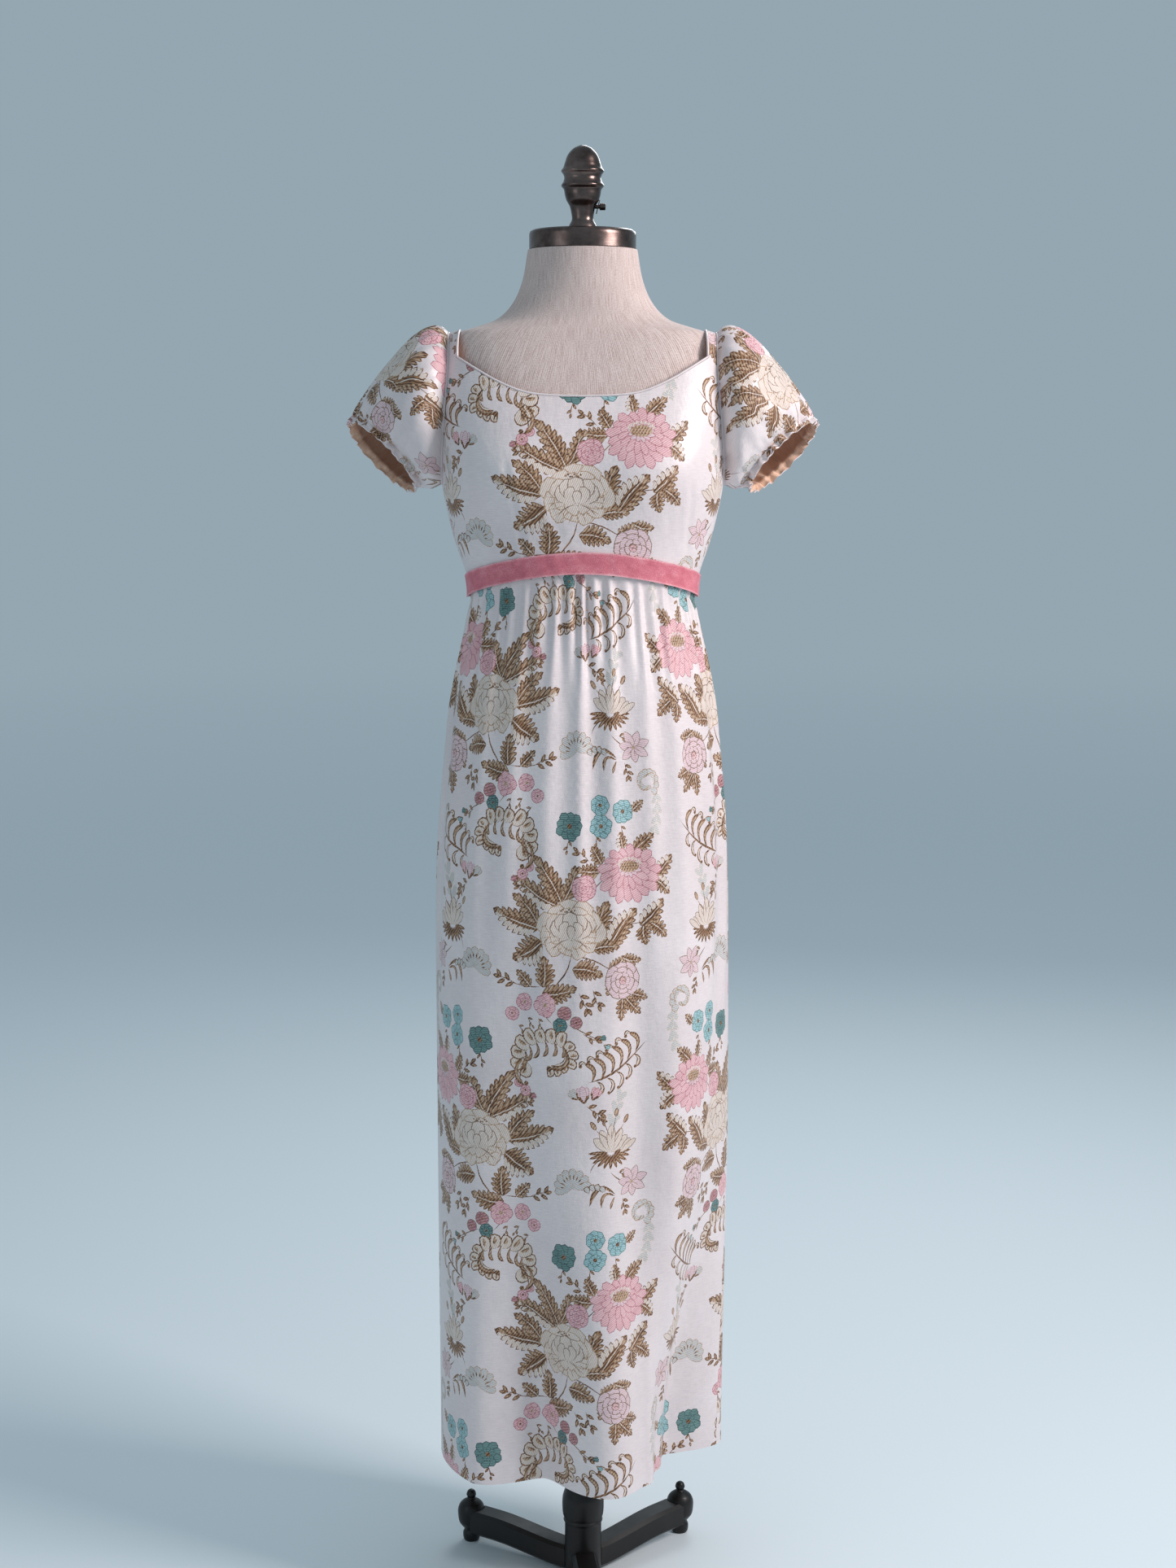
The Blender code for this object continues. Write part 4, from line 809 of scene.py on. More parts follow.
def border_loop(triangles):
    """The vertices round the border, anticlockwise."""
    edges = sides_of(triangles)
    count = int(edges.max()) + 1
    lone = ~np.isin(edges[:, 0] * count + edges[:, 1], edges[:, 1] * count + edges[:, 0])
    following = {int(a): int(b) for a, b in edges[lone]}
    loop = [min(following)]
    while following[loop[-1]] != loop[0]:
        loop.append(following[loop[-1]])
    return np.array(loop)


def inside(points, ring):
    """Which points lie within a closed outline."""
    x, y = points.T
    hit = np.zeros(len(points), bool)
    for (x0, y0), (x1, y1) in zip(ring, np.roll(ring, -1, 0)):
        if y0 != y1:
            hit ^= ((y0 > y) != (y1 > y)) & (x < (x1 - x0) * (y - y0) / (y1 - y0) + x0)
    return hit


def along_rows(points):
    """Running length along each row of a grid of points."""
    steps = np.linalg.norm(np.diff(points, axis=1), axis=-1)
    return np.concatenate([np.zeros((len(points), 1)), np.cumsum(steps, 1)], 1)


def flat_tree(flat, triangles):
    return BVHTree.FromPolygons([(u, v, 0.0) for u, v in flat.tolist()], triangles.tolist())


def triangles_at(tree, flat):
    """Number of the triangle at each flat place."""
    return np.array([tree.find_nearest((u, v, 0.0))[2] for u, v in flat.tolist()])


def normed(vectors):
    return vectors / np.linalg.norm(vectors, axis=-1, keepdims=True)


class Cut:
    """One cut piece of cloth: flat shape, and where each flat point lies on the gown."""

    def __init__(self, flat, points, triangles):
        self.flat, self.points, self.triangles = flat, points, triangles
        a, b, c = (points[triangles[:, k]] for k in range(3))
        facing = np.cross(b - a, c - a)
        normals = np.zeros_like(points)
        for k in range(3):
            np.add.at(normals, triangles[:, k], facing)
        self.normals = normed(normals)
        self.tree = flat_tree(flat, triangles)
        self.outline = flat[border_loop(triangles)]

    def place(self, flat):
        """Points and normals of the surface at flat places."""
        corners = self.triangles[triangles_at(self.tree, flat)]
        a, b, c = (self.flat[corners[:, k]] for k in range(3))
        ab, ac, ap = b - a, c - a, flat - a
        whole = ab[:, 0] * ac[:, 1] - ab[:, 1] * ac[:, 0]
        second = (ap[:, 0] * ac[:, 1] - ap[:, 1] * ac[:, 0]) / whole
        third = (ab[:, 0] * ap[:, 1] - ab[:, 1] * ap[:, 0]) / whole
        weights = np.clip(np.stack([1 - second - third, second, third], 1), 0, 1)
        weights /= weights.sum(1, keepdims=True)
        points = (self.points[corners] * weights[..., None]).sum(1)
        return points, normed((self.normals[corners] * weights[..., None]).sum(1))


def cut_from_grid(u, v, points):
    """A cut piece from grids of flat places and of points."""
    flat = np.stack([u.ravel(), v.ravel()], 1)
    return Cut(flat, points.reshape(-1, 3), grid_triangles(np.arange(u.size).reshape(u.shape)))


def scatter(low, high, spacing, *closer):
    """Staggered rows of points over a rectangle; closer are spacings with tests of where to use them."""
    rows = np.arange(low[1] + spacing / 2, high[1], spacing * 0.87)
    columns = np.arange(low[0] + spacing / 2, high[0], spacing)
    u, v = np.meshgrid(columns, rows)
    u[1::2] += spacing / 2
    points = np.stack([u.ravel(), v.ravel()], 1)
    for dense_spacing, test in closer:
        dense = scatter(low, high, dense_spacing)
        points = np.vstack([points[~test(points)], dense[test(dense)]])
    return points


def away_from(points, others, gap):
    """The points whose neighbourhood of a size holds none of the others."""
    def cells(places):
        return [(int(a), int(b)) for a, b in np.floor(places / gap)]
    taken = set(cells(others))
    return points[[cell not in taken for cell in cells(points)]]


SAME_POINT = 2e-5           # metres; closer points are drawn together


def triangulate(ring, lines, loose):
    """Triangles within a ring that keep its edges and some lines.

    Returns flat points, triangles, and the numbers of the ring's points.
    """
    points = np.vstack([ring, lines.reshape(-1, 2), loose])
    count = len(ring)
    edges = [(k, (k + 1) % count) for k in range(count)]
    edges += [(k, k + 1) for k in range(count, count + 2 * len(lines), 2)]
    made = delaunay_2d_cdt([Vector(p) for p in points.tolist()], edges, [], 0, SAME_POINT, True)
    flat = np.array([v[:] for v in made[0]])
    triangles = np.array(made[2])
    a, b, c = (flat[triangles[:, k]] for k in range(3))
    turned = (b[:, 0] - a[:, 0]) * (c[:, 1] - a[:, 1]) < (b[:, 1] - a[:, 1]) * (c[:, 0] - a[:, 0])
    triangles[turned] = triangles[turned][:, ::-1]
    triangles = triangles[inside((a + b + c) / 3, ring)]
    first = {}
    for index, sources in enumerate(made[3]):
        for source in sources:
            first[source] = index
    used, numbers = np.unique(triangles, return_inverse=True)
    return flat[used], numbers.reshape(-1, 3), np.searchsorted(used, [first[k] for k in range(count)])


def new_mesh(name, points, faces, finishes):
    """A mesh with its materials and a UV layer for places on the flat cloth, in metres."""
    mesh = bpy.data.meshes.new(name)
    mesh.from_pydata(points.tolist(), [], faces)
    for finish in finishes:
        mesh.materials.append(finish)
    return mesh, mesh.uv_layers.new(name="cut").data


def add_piece(name, mesh, body):
    made = bpy.data.objects.new(name, mesh)
    bpy.context.scene.collection.objects.link(made)
    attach(made, body)
    return made


LINE_CLEARANCE = 0.0040     # between loose points and the lines of the brocade
RIM_CLEARANCE = 0.003       # between loose points of the lining and its edge
LINING_COARSER = 2.2        # spacing of the lining's points against the outside's
LINING_COARSER_CLOSE = 1.6
LINING_SPACING = 0.0165
TIGHT_SPACING = 0.0082


def cloth_object(name, cut, thickness, finishes, spacing, fine=None, chart_origin=None, tight=None):
    """A closed thin wall for a cut piece: woven outside, lining inside, and the edges between.

    finishes are the materials: the ground first, then the lining and the yarns. fine is a spacing and a
    test of flat points that tells where to use it, and tight is such a test for the lining alone.
    chart_origin is the flat place of the chart's middle.
    """
    ring = cut.outline
    low, high = ring.min(0), ring.max(0)
    no_lines = np.zeros((0, 2, 2))
    lines = no_lines if chart_origin is None else chart_lines(low, high, np.array(chart_origin))
    loose = scatter(low, high, spacing, *([fine] if fine else []))
    loose = away_from(loose[inside(loose, ring)], np.vstack([ring, lines.reshape(-1, 2)]), LINE_CLEARANCE)
    flat, triangles, _ = triangulate(ring, lines, loose)
    border = border_loop(triangles)
    yarns = np.zeros(len(triangles), int)
    if chart_origin is not None:
        yarns = chart_yarns(flat[triangles].mean(1) - np.array(chart_origin))
    places, normals = cut.place(flat)

    closer = [(fine[0] * LINING_COARSER_CLOSE, fine[1])] if fine else []
    closer += [(TIGHT_SPACING, tight)] if tight else []
    sparse = scatter(low, high, min(spacing * LINING_COARSER, LINING_SPACING), *closer)
    sparse = away_from(sparse[inside(sparse, flat[border])], flat[border], RIM_CLEARANCE)
    back_flat, back_triangles, back_ring = triangulate(flat[border], no_lines, sparse)
    back_places, back_normals = cut.place(back_flat)
    back_places = back_places - back_normals * thickness

    count = len(places)
    after, back_after = np.roll(border, -1), np.roll(back_ring, -1)
    side = np.cross(places[after] - places[border], normals[border])
    side /= np.maximum(np.linalg.norm(side, axis=1, keepdims=True), 1e-9)
    rim = np.vstack([
        np.stack([after, border, back_ring + count], 1),
        np.stack([after, back_ring + count, back_after + count], 1),
    ])
    faces = np.vstack([triangles, back_triangles[:, ::-1] + count, rim])
    corner_normals = np.vstack([
        normals[triangles].reshape(-1, 3),
        -back_normals[back_triangles[:, ::-1]].reshape(-1, 3),
        np.repeat(np.vstack([side, side]), 3, axis=0),
    ])
    corner_flat = np.vstack([flat, back_flat])[faces.ravel()]
    slots = np.concatenate([np.where(yarns > 0, yarns + 1, 0), np.full(len(back_triangles), 1),
                            np.zeros(len(rim), int)])
    mesh, layer = new_mesh(name, np.vstack([places, back_places]), faces.tolist(), finishes)
    layer.foreach_set("uv", corner_flat.astype(np.float32).ravel())
    mesh.polygons.foreach_set("material_index", slots.astype(np.int32))
    mesh.polygons.foreach_set("use_smooth", np.ones(len(faces), bool))
    mesh.normals_split_custom_set(corner_normals.tolist())
    mesh.update()
    return add_piece(name, mesh, "form")


# The chart over the plane

LINE_MERGE = 0.55           # millimetres; finer detail is drawn together
CHART_MARGIN = 40.0         # millimetres round the repeat from which shapes are taken in
chart = {}


def weave_chart():
    """Works out which yarn lies on top at each place of one repeat, and the lines where yarns meet."""
    low = np.array((-170.0, -150.0))
    size = np.array((REPEAT_WIDE, REPEAT_HIGH))
    for draw, *what in COLUMN:
        draw(*what)
    rings = []
    for across, up in itertools.product(range(-2, 3), repeat=2):
        for flip, u, v in ((1, 0.0, 0.0), (-1, GLIDE, REPEAT_HIGH / 2)):
            shift = np.array((u, v)) + size * (across, up)
            for yarn, outline in shapes:
                ring = outline * (flip, 1) + shift
                if ((ring.max(0) > low - CHART_MARGIN) & (ring.min(0) < low + size + CHART_MARGIN)).all():
                    rings.append((yarn, ring))
    points = np.vstack([ring for _, ring in rings])
    edges, start = [], 0
    for _, ring in rings:
        edges += [(start + k, start + (k + 1) % len(ring)) for k in range(len(ring))]
        start += len(ring)
    made = delaunay_2d_cdt([Vector(p) for p in points.tolist()], edges, [], 0, LINE_MERGE, False)
    flat, triangles = np.array([v[:] for v in made[0]]), np.array(made[2])
    middle = flat[triangles].mean(1)
    order = np.argsort(middle[:, 0])
    x, y = middle[order].T
    yarns = np.zeros(len(triangles), int)
    for yarn, ring in rings:
        first, last = np.searchsorted(x, (ring[:, 0].min(), ring[:, 0].max()))
        within = (y[first:last] > ring[:, 1].min()) & (y[first:last] < ring[:, 1].max())
        near = order[first + np.nonzero(within)[0]]
        yarns[near[inside(middle[near], ring)]] = YARNS.index(yarn)
    sides = sides_of(triangles)
    owners = np.tile(np.arange(len(triangles)), 3)
    sides.sort(1)
    order = np.lexsort((sides[:, 1], sides[:, 0]))
    sides, owners = sides[order], owners[order]
    pairs = np.nonzero((sides[:-1] == sides[1:]).all(1))[0]
    pairs = pairs[yarns[owners[pairs]] != yarns[owners[pairs + 1]]]
    lines = flat[sides[pairs]]
    centre = lines.mean(1)
    lines = lines[((centre >= low) & (centre < low + size)).all(1)]
    chart.update(low=low / 1000, size=size / 1000, lines=lines / 1000, yarns=yarns,
                 tree=flat_tree(flat / 1000, triangles))


def chart_lines(low, high, origin):
    """Lines between yarns over a flat rectangle."""
    first, last = (np.floor((corner - origin - chart["low"]) / chart["size"]).astype(int)
                   for corner in (low, high))
    found = []
    for repeat in itertools.product(range(first[0] - 1, last[0] + 2), range(first[1] - 1, last[1] + 2)):
        lines = chart["lines"] + origin + chart["size"] * repeat
        found.append(lines[(lines.max(1) > low).all(1) & (lines.min(1) < high).all(1)])
    return np.vstack(found)


def chart_yarns(flat):
    """Number of the yarn on top at places given from the chart's middle."""
    places = chart["low"] + np.mod(flat - chart["low"], chart["size"])
    return chart["yarns"][triangles_at(chart["tree"], places)]


# Materials

def linear(colour):
    """Linear colour from one given as on screen; a single number is a grey taken as it is."""
    if isinstance(colour, float):
        return (colour,) * 3 + (1.0,)
    return tuple(v / 12.92 if v <= 0.04045 else ((v + 0.055) / 1.055) ** 2.4 for v in colour) + (1.0,)


class Shade:
    """A material with its node tree; inputs are set to sockets or to plain values."""

    def __init__(self, name, **settings):
        self.material = bpy.data.materials.new(name)
        self.material.use_nodes = True
        self.nodes = self.material.node_tree.nodes
        self.surface = self.nodes["Principled BSDF"]
        self.put(self.surface, settings)

    def put(self, node, inputs):
        for key, value in inputs.items():
            socket = node.inputs[key if isinstance(key, int) else key.replace("_", " ")]
            if isinstance(value, bpy.types.NodeSocket):
                self.material.node_tree.links.new(value, socket)
            else:
                socket.default_value = value

    def node(self, kind, inputs=None, **settings):
        made = self.nodes.new("ShaderNode" + kind)
        for key, value in settings.items():
            setattr(made, key, value)
        self.put(made, inputs or {})
        return made

    def place(self, source="UV", scale=(1, 1, 1), turn=0.0):
        coordinates = self.node("TexCoord")
        made = self.node("Mapping", {"Vector": coordinates.outputs[source], "Scale": scale,
                                     "Rotation": (0, 0, turn)})
        return made.outputs["Vector"]

    def noise(self, scale, detail=2.0, rough=0.5, stretch=(1, 1, 1), source="UV", turn=0.0):
        made = self.node("TexNoise", {"Vector": self.place(source, stretch, turn), "Scale": scale,
                                      "Detail": detail, "Roughness": rough})
        return made.outputs["Fac"]

    def threads(self, pitch, degrees=0, waver=0.6):
        """Height of parallel threads of a pitch in metres, wavering a little."""
        straight = self.place(turn=math.radians(degrees))
        wave = self.node("TexWave", {"Vector": straight, "Scale": WAVE_PITCH / pitch,
                                     "Distortion": waver, "Detail": 1.0, "Detail Scale": 1.5})
        return wave.outputs["Fac"]

    def ramp(self, factor, *stops):
        made = self.node("ValToRGB", {"Fac": factor})
        elements = made.color_ramp.elements
        for place, _ in stops[2:]:
            elements.new(place)
        for element, (place, colour) in zip(elements, stops):
            element.position, element.color = place, linear(colour)
        return made.outputs["Color"]

    def sums(self, operation, *values):
        return self.node("Math", dict(enumerate(values)), operation=operation).outputs[0]

    def mix(self, first, share, second):
        """A share of the first height on top of the second."""
        return self.sums("MULTIPLY_ADD", first, share, second)

    def times(self, height, share):
        return self.sums("MULTIPLY", height, share)

    def blend(self, factor, first, second, mode="MIX"):
        made = self.node("Mix", data_type="RGBA", blend_type=mode)
        self.put(made, {"Factor": factor, 6: first, 7: second})
        return made.outputs[2]

    def bump(self, height, strength, distance, under=None):
        inputs = {"Height": height, "Strength": strength, "Distance": distance}
        if under:
            inputs["Normal"] = under
        return self.node("Bump", inputs).outputs["Normal"]

    def finished(self, colour, normal, **settings):
        self.put(self.surface, {"Base Color": colour, "Normal": normal, **settings})
        return self.material


WAVE_PITCH = 0.3142         # of a wave texture of scale 1, in metres


def satin_ground():
    """Satin of the brocade's ground: a fine twill with slubs and cloudy wear."""
    shade = Shade("brocade_ground", Anisotropic=0.35, Sheen_Weight=0.12, Sheen_Roughness=0.35,
                  Specular_IOR_Level=0.55)
    cloudy = shade.noise(7.0, 4.0, 0.6)
    slub = shade.noise(1.0, 3.0, 0.6, (90, 900, 1))
    grain = shade.noise(1.0, 2.0, 0.5, (900, 900, 1))
    twill = shade.threads(0.0017, 58)
    colour = shade.ramp(cloudy, (0.32, (0.895, 0.838, 0.838)), (0.68, (0.94, 0.892, 0.890)))
    colour = shade.blend(0.16, colour, shade.ramp(slub, (0.38, 0.45), (0.62, 1.0)), "MULTIPLY")
    colour = shade.blend(0.10, colour, shade.ramp(twill, (0.2, 0.5), (0.8, 1.0)), "MULTIPLY")
    crumple = shade.noise(1.0, 3.0, 0.55, (70, 45, 1))
    weave = shade.mix(twill, 0.6, shade.times(grain, 0.9))
    normal = shade.bump(weave, 0.30, 0.00030, shade.bump(crumple, 0.42, 0.0024))
    return shade.finished(colour, normal, Roughness=shade.mix(slub, 0.16, 0.30))


def yarn_finish(name, dark, light, pitch, degrees):
    """Brocading yarn laid in short floats: ribs between two shades, proud of the ground."""
    shade = Shade("yarn_" + name, Roughness=0.55, Sheen_Weight=0.2, Sheen_Roughness=0.45)
    ribs = shade.threads(pitch, degrees, 2.2)
    flecks = shade.noise(1.0, 2.0, 0.6, (520, 800, 1))
    mixed = shade.mix(ribs, 0.50, shade.times(flecks, 0.60))
    mixed = shade.mix(shade.noise(70.0), 0.60, shade.sums("SUBTRACT", mixed, 0.34))
    height = shade.sums("ADD", ribs, shade.times(flecks, 1.2))
    return shade.finished(shade.ramp(mixed, (0.30, dark), (0.72, light)),
                          shade.bump(height, 0.40, 0.00045))


def lining_finish():
    shade = Shade("lining", Roughness=0.55, Sheen_Weight=0.2)
    slub = shade.noise(1.0, 3.0, 0.5, (700, 80, 1))
    return shade.finished(shade.ramp(slub, (0.3, (0.86, 0.68, 0.57)), (0.7, (0.93, 0.78, 0.68))),
                          shade.bump(shade.threads(0.0012), 0.3, 0.0003))


def velvet_finish():
    """Velvet with a brushed pile, lighter in worn specks, with a painted highlight along both edges."""
    shade = Shade("velvet", Roughness=0.7, Sheen_Weight=0.55, Sheen_Roughness=0.30,
                  Sheen_Tint=linear((1.0, 0.78, 0.82)))
    brushed = shade.noise(1.0, 4.0, 0.7, (40, 60, 1), turn=math.radians(20))
    pile = shade.noise(900.0, 3.0, 0.6)
    # Painted highlight: the colour turns lighter towards both edges of the ribbon, whatever the light.
    height = shade.node("SeparateXYZ", {"Vector": shade.place()}).outputs["Y"]
    edge = shade.times(shade.sums("ABSOLUTE", height), 1 / (BAND_WIDTH / 2))
    edge = shade.ramp(edge, (0.78, 0.0), (0.98, 0.16))
    mixed = shade.sums("ADD", shade.mix(pile, 0.50, shade.times(brushed, 0.50)), edge)
    colour = shade.ramp(mixed, (0.38, (0.75, 0.36, 0.42)), (0.54, (0.85, 0.48, 0.53)),
                        (0.72, (0.94, 0.70, 0.72)))
    return shade.finished(colour, shade.bump(pile, 0.6, 0.0006))


def linen_finish():
    """Ribbed cover of the form: fine upright threads, a little slubbed."""
    shade = Shade("linen", Roughness=0.8, Sheen_Weight=0.15)
    warp = shade.noise(1.0, 3.0, 0.6, (620, 40, 1))
    weft = shade.noise(1.0, 3.0, 0.6, (260, 800, 1))
    mixed = shade.mix(shade.threads(0.0022), 0.16, shade.mix(warp, 0.55, shade.times(weft, 0.45)))
    colour = shade.ramp(mixed, (0.44, (0.70, 0.60, 0.57)), (0.56, (0.80, 0.715, 0.69)),
                        (0.70, (0.88, 0.81, 0.785)))
    return shade.finished(colour, shade.bump(mixed, 0.5, 0.0009))


def metal_finish(name, dark, light, roughness):
    shade = Shade(name, Metallic=1.0)
    stain = shade.noise(38.0, 4.0, 0.6, source="Object")
    fine = shade.noise(1.0, 2.0, 0.5, (20, 20, 420), "Object")
    return shade.finished(shade.ramp(stain, (0.35, dark), (0.7, light)), shade.bump(fine, 0.05, 0.0004),
                          Roughness=shade.mix(stain, 0.16, roughness))


def wood_finish():
    shade = Shade("dark_wood", Specular_IOR_Level=0.35, Coat_Weight=0.10, Coat_Roughness=0.20)
    grain = shade.noise(3.0, 5.0, 0.6, (30, 30, 6), "Object")
    scuffs = shade.noise(55.0, 5.0, 0.7, source="Object")
    colour = shade.ramp(grain, (0.3, (0.045, 0.036, 0.036)), (0.7, (0.085, 0.068, 0.066)))
    worn = shade.ramp(scuffs, (0.66, 0.0), (0.74, 0.5))
    colour = shade.blend(worn, colour, linear((0.26, 0.20, 0.18)))
    return shade.finished(colour, shade.bump(grain, 0.12, 0.0008),
                          Roughness=shade.mix(scuffs, 0.35, 0.25))


# Each yarn's darker and lighter tone, as on screen
SHADES = {
    "cream": ((0.80, 0.72, 0.67), (0.92, 0.86, 0.82)), "tan": ((0.60, 0.47, 0.36), (0.80, 0.68, 0.58)),
    "brown": ((0.28, 0.16, 0.08), (0.63, 0.46, 0.32)), "umber": ((0.45, 0.35, 0.29), (0.62, 0.51, 0.44)),
    "pink": ((0.82, 0.59, 0.61), (0.94, 0.78, 0.79)), "rose": ((0.63, 0.39, 0.42), (0.81, 0.58, 0.61)),
    "blush": ((0.80, 0.68, 0.70), (0.92, 0.81, 0.82)), "teal": ((0.29, 0.42, 0.42), (0.46, 0.59, 0.57)),
    "deep_teal": ((0.16, 0.27, 0.28), (0.29, 0.41, 0.41)),
    "aqua": ((0.50, 0.65, 0.67), (0.67, 0.80, 0.81)), "mist": ((0.74, 0.72, 0.71), (0.83, 0.81, 0.80)),
}
YARNS = ["ground"] + list(SHADES)
YARN_PITCH = 0.0021
HATCHED_PITCH = 0.0031      # of the yarns whose hatching shows in the photo
HATCHED = ("brown", "tan", "rose")

brocade = [satin_ground(), lining_finish()]
for index, (name, tones) in enumerate(SHADES.items()):
    pitch = HATCHED_PITCH if name in HATCHED else YARN_PITCH
    brocade.append(yarn_finish(name, *tones, pitch, 25 + 9 * index))
velvet = velvet_finish()
linen = linen_finish()
dark_metal = metal_finish("dark_metal", (0.30, 0.25, 0.235), (0.50, 0.43, 0.41), 0.17)
rod_metal = metal_finish("rod_metal", (0.55, 0.55, 0.56), (0.70, 0.70, 0.71), 0.28)
dark_wood = wood_finish()


# Gown

weave_chart()

SKIRT_WIDTH = 0.525
SLEEVE_WIDTH = 0.46


def skirt_cut(middle, rows=150, columns=340):
    """Front (middle 0) or back (pi) of the skirt, laid flat by the length of cloth along each level."""
    step = np.pi / (columns - 1)
    angles = middle + np.linspace(-np.pi / 2 - step, np.pi / 2 + step, columns + 2)
    share = np.linspace(0, 1, rows)[:, None]
    z = HEM_Z + (band_middle(angles) - SEAM_GAP - HEM_Z) * share
    points = skirt_point(angles + np.zeros_like(z), z)
    normals = np.cross(np.gradient(points, axis=1), np.gradient(points, axis=0))[:, 1:-1]
    points, z = points[:, 1:-1], z[:, 1:-1]
    run = along_rows(points)
    u = (run - run[:, columns // 2][:, None]) / run[:, -1:] * SKIRT_WIDTH
    u -= (u[:, :1] + u[:, -1:]) / 2
    cut = cut_from_grid(u, z, points)
    cut.normals = normed(normals).reshape(-1, 3)
    return cut


# Where the cloth turns tightly and needs closer points, by flat u and v in metres

def gathered(flat):
    """Under the ribbon, where the gathers are fine."""
    return flat[:, 1] > 1.05


def below_gathers(flat):
    """Where the gathers open out."""
    return (flat[:, 1] > 0.84) & (flat[:, 1] < 1.06)


def folded(flat):
    """Where the deep folds of the lower front turn tightly, and below the gathers."""
    return (flat[:, 1] < 0.60) & (np.abs(flat[:, 0] - 0.05) < 0.19) | below_gathers(flat)


skirt_front = cloth_object("gown_skirt_front", skirt_cut(0.0), CLOTH, brocade, 0.0085,
                           fine=(0.0042, gathered), chart_origin=(-0.012, 0.331), tight=folded)
skirt_back = cloth_object("gown_skirt_back", skirt_cut(np.pi), CLOTH, brocade, 0.0083,
                          fine=(0.0042, gathered), chart_origin=(0.120, 0.331), tight=below_gathers)


def bodice_cut(front, sides):
    """Front or half a back with its straps; the flat v is the height. Also gives the neckline."""
    flip = 1 if front else -1
    columns = 145 if front else 73
    across = np.linspace(sides[0], sides[1], columns)
    side_grid, row_grid = np.meshgrid(np.abs(across), np.linspace(0, BODICE_ROWS, 97))
    points = bodice_point(front, side_grid, row_grid)
    points[..., 0] *= np.sign(across) + (across == 0)
    if front:
        outward = points * (1, 1, 0) / np.hypot(points[..., 0], points[..., 1])[..., None]
        points = points - outward * dart_dent(points)[..., None]
    else:
        points, across = points[:, ::-1], across[::-1]
    run = along_rows(points * (1, 1, 0))
    run -= run[:, int(np.argmin(np.abs(across)))][:, None]
    flats = [np.stack([run, points[..., 2]], -1).reshape(-1, 2)]
    places = [points.reshape(-1, 3)]
    count = run.size
    triangles = [grid_triangles(np.arange(count).reshape(run.shape))]
    top = np.arange(count - columns, count)
    neck = list(top)
    shares = np.linspace(0, 1, STRAP_ROWS + 1)
    for sign in (-1, 1):
        if sign not in sides:
            continue
        foot = top[np.abs(across) > STRAP_SIDE - 1e-6]
        foot = foot[np.sign(across[foot - top[0]]) == sign]
        reach = np.abs(across[foot - top[0]]) * 9 - 8
        inner = int(np.argmin(reach))
        strap = strap_point(front, *np.meshgrid(shares[1:], reach, indexing="ij"))
        strap[..., 0] *= sign
        neck_line = strap_point(front, shares, np.zeros(STRAP_ROWS + 1))
        length = along_rows(neck_line[None])[0, 1:]
        start = np.concatenate(flats)[foot][inner]
        width = np.linalg.norm(strap - strap[:, [inner]], axis=-1)
        flats.append(np.stack([start[0] + sign * flip * width,
                               start[1] + length[:, None] + 0 * width], -1).reshape(-1, 2))
        rows_here = np.vstack([foot[None], count + np.arange(width.size).reshape(STRAP_ROWS, -1)])
        triangles.append(grid_triangles(rows_here))
        places.append(strap.reshape(-1, 3))
        count += width.size
        kept = [k for k in neck if k not in set(foot)]
        edge = list(rows_here[:, inner])
        neck = edge[::-1] + kept if reach[0] > reach[-1] else kept + edge
    return Cut(*(np.concatenate(part) for part in (flats, places, triangles))), np.array(neck)


def beside_darts(flat):
    """Where the darts and the small pulls beside them dent the cloth."""
    return (np.abs(np.abs(flat[:, 0]) - 0.10) < 0.045) & (flat[:, 1] < 1.345)


front_cut, front_neck = bodice_cut(True, (-1, 1))
left_cut, left_neck = bodice_cut(False, (0, 1))
right_cut, right_neck = bodice_cut(False, (-1, 0))
bodice_front = cloth_object("gown_bodice_front", front_cut, BODICE_CLOTH, brocade, 0.0048,
                            fine=(0.0022, beside_darts), chart_origin=(-0.006, 1.298))
bodice_left, bodice_right = (
    cloth_object("gown_bodice_back_" + side, cut, BODICE_CLOTH, brocade, 0.005,
                 chart_origin=(0.085, 1.298))
    for side, cut in (("left", left_cut), ("right", right_cut)))


def sleeve_cut(side):
    """Puffed sleeve, cut along the underarm; flat v runs from the cuff's edge to the armhole."""
    turns = np.linspace(-np.pi, np.pi, 401)
    shares = np.concatenate([np.linspace(2, 1, 9)[:-1], np.linspace(1, 0, 73)])
    points = sleeve_grid(turns, shares) * (side, 1, 1)
    run = np.cumsum(np.linalg.norm(np.diff(points, axis=0, prepend=points[:1]), axis=-1), 0)
    u = np.broadcast_to(turns / (2 * np.pi) * SLEEVE_WIDTH, run.shape)
    if side > 0:
        u, run, points = -u[:, ::-1], run[:, ::-1], points[:, ::-1]
    return cut_from_grid(u, run, points)


def gathered_sleeve(flat):
    """Near the cuff and near the armhole."""
    return (flat[:, 1] < 0.055) | (flat[:, 1] > 0.12)


sleeve_left, sleeve_right = (
    cloth_object("gown_sleeve_" + name, sleeve_cut(side), CLOTH, brocade, 0.0055,
                 fine=(0.0036, gathered_sleeve), chart_origin=origin)
    for name, side, origin in (("left", 1, (-0.045, 0.066)), ("right", -1, (0.020, 0.090))))


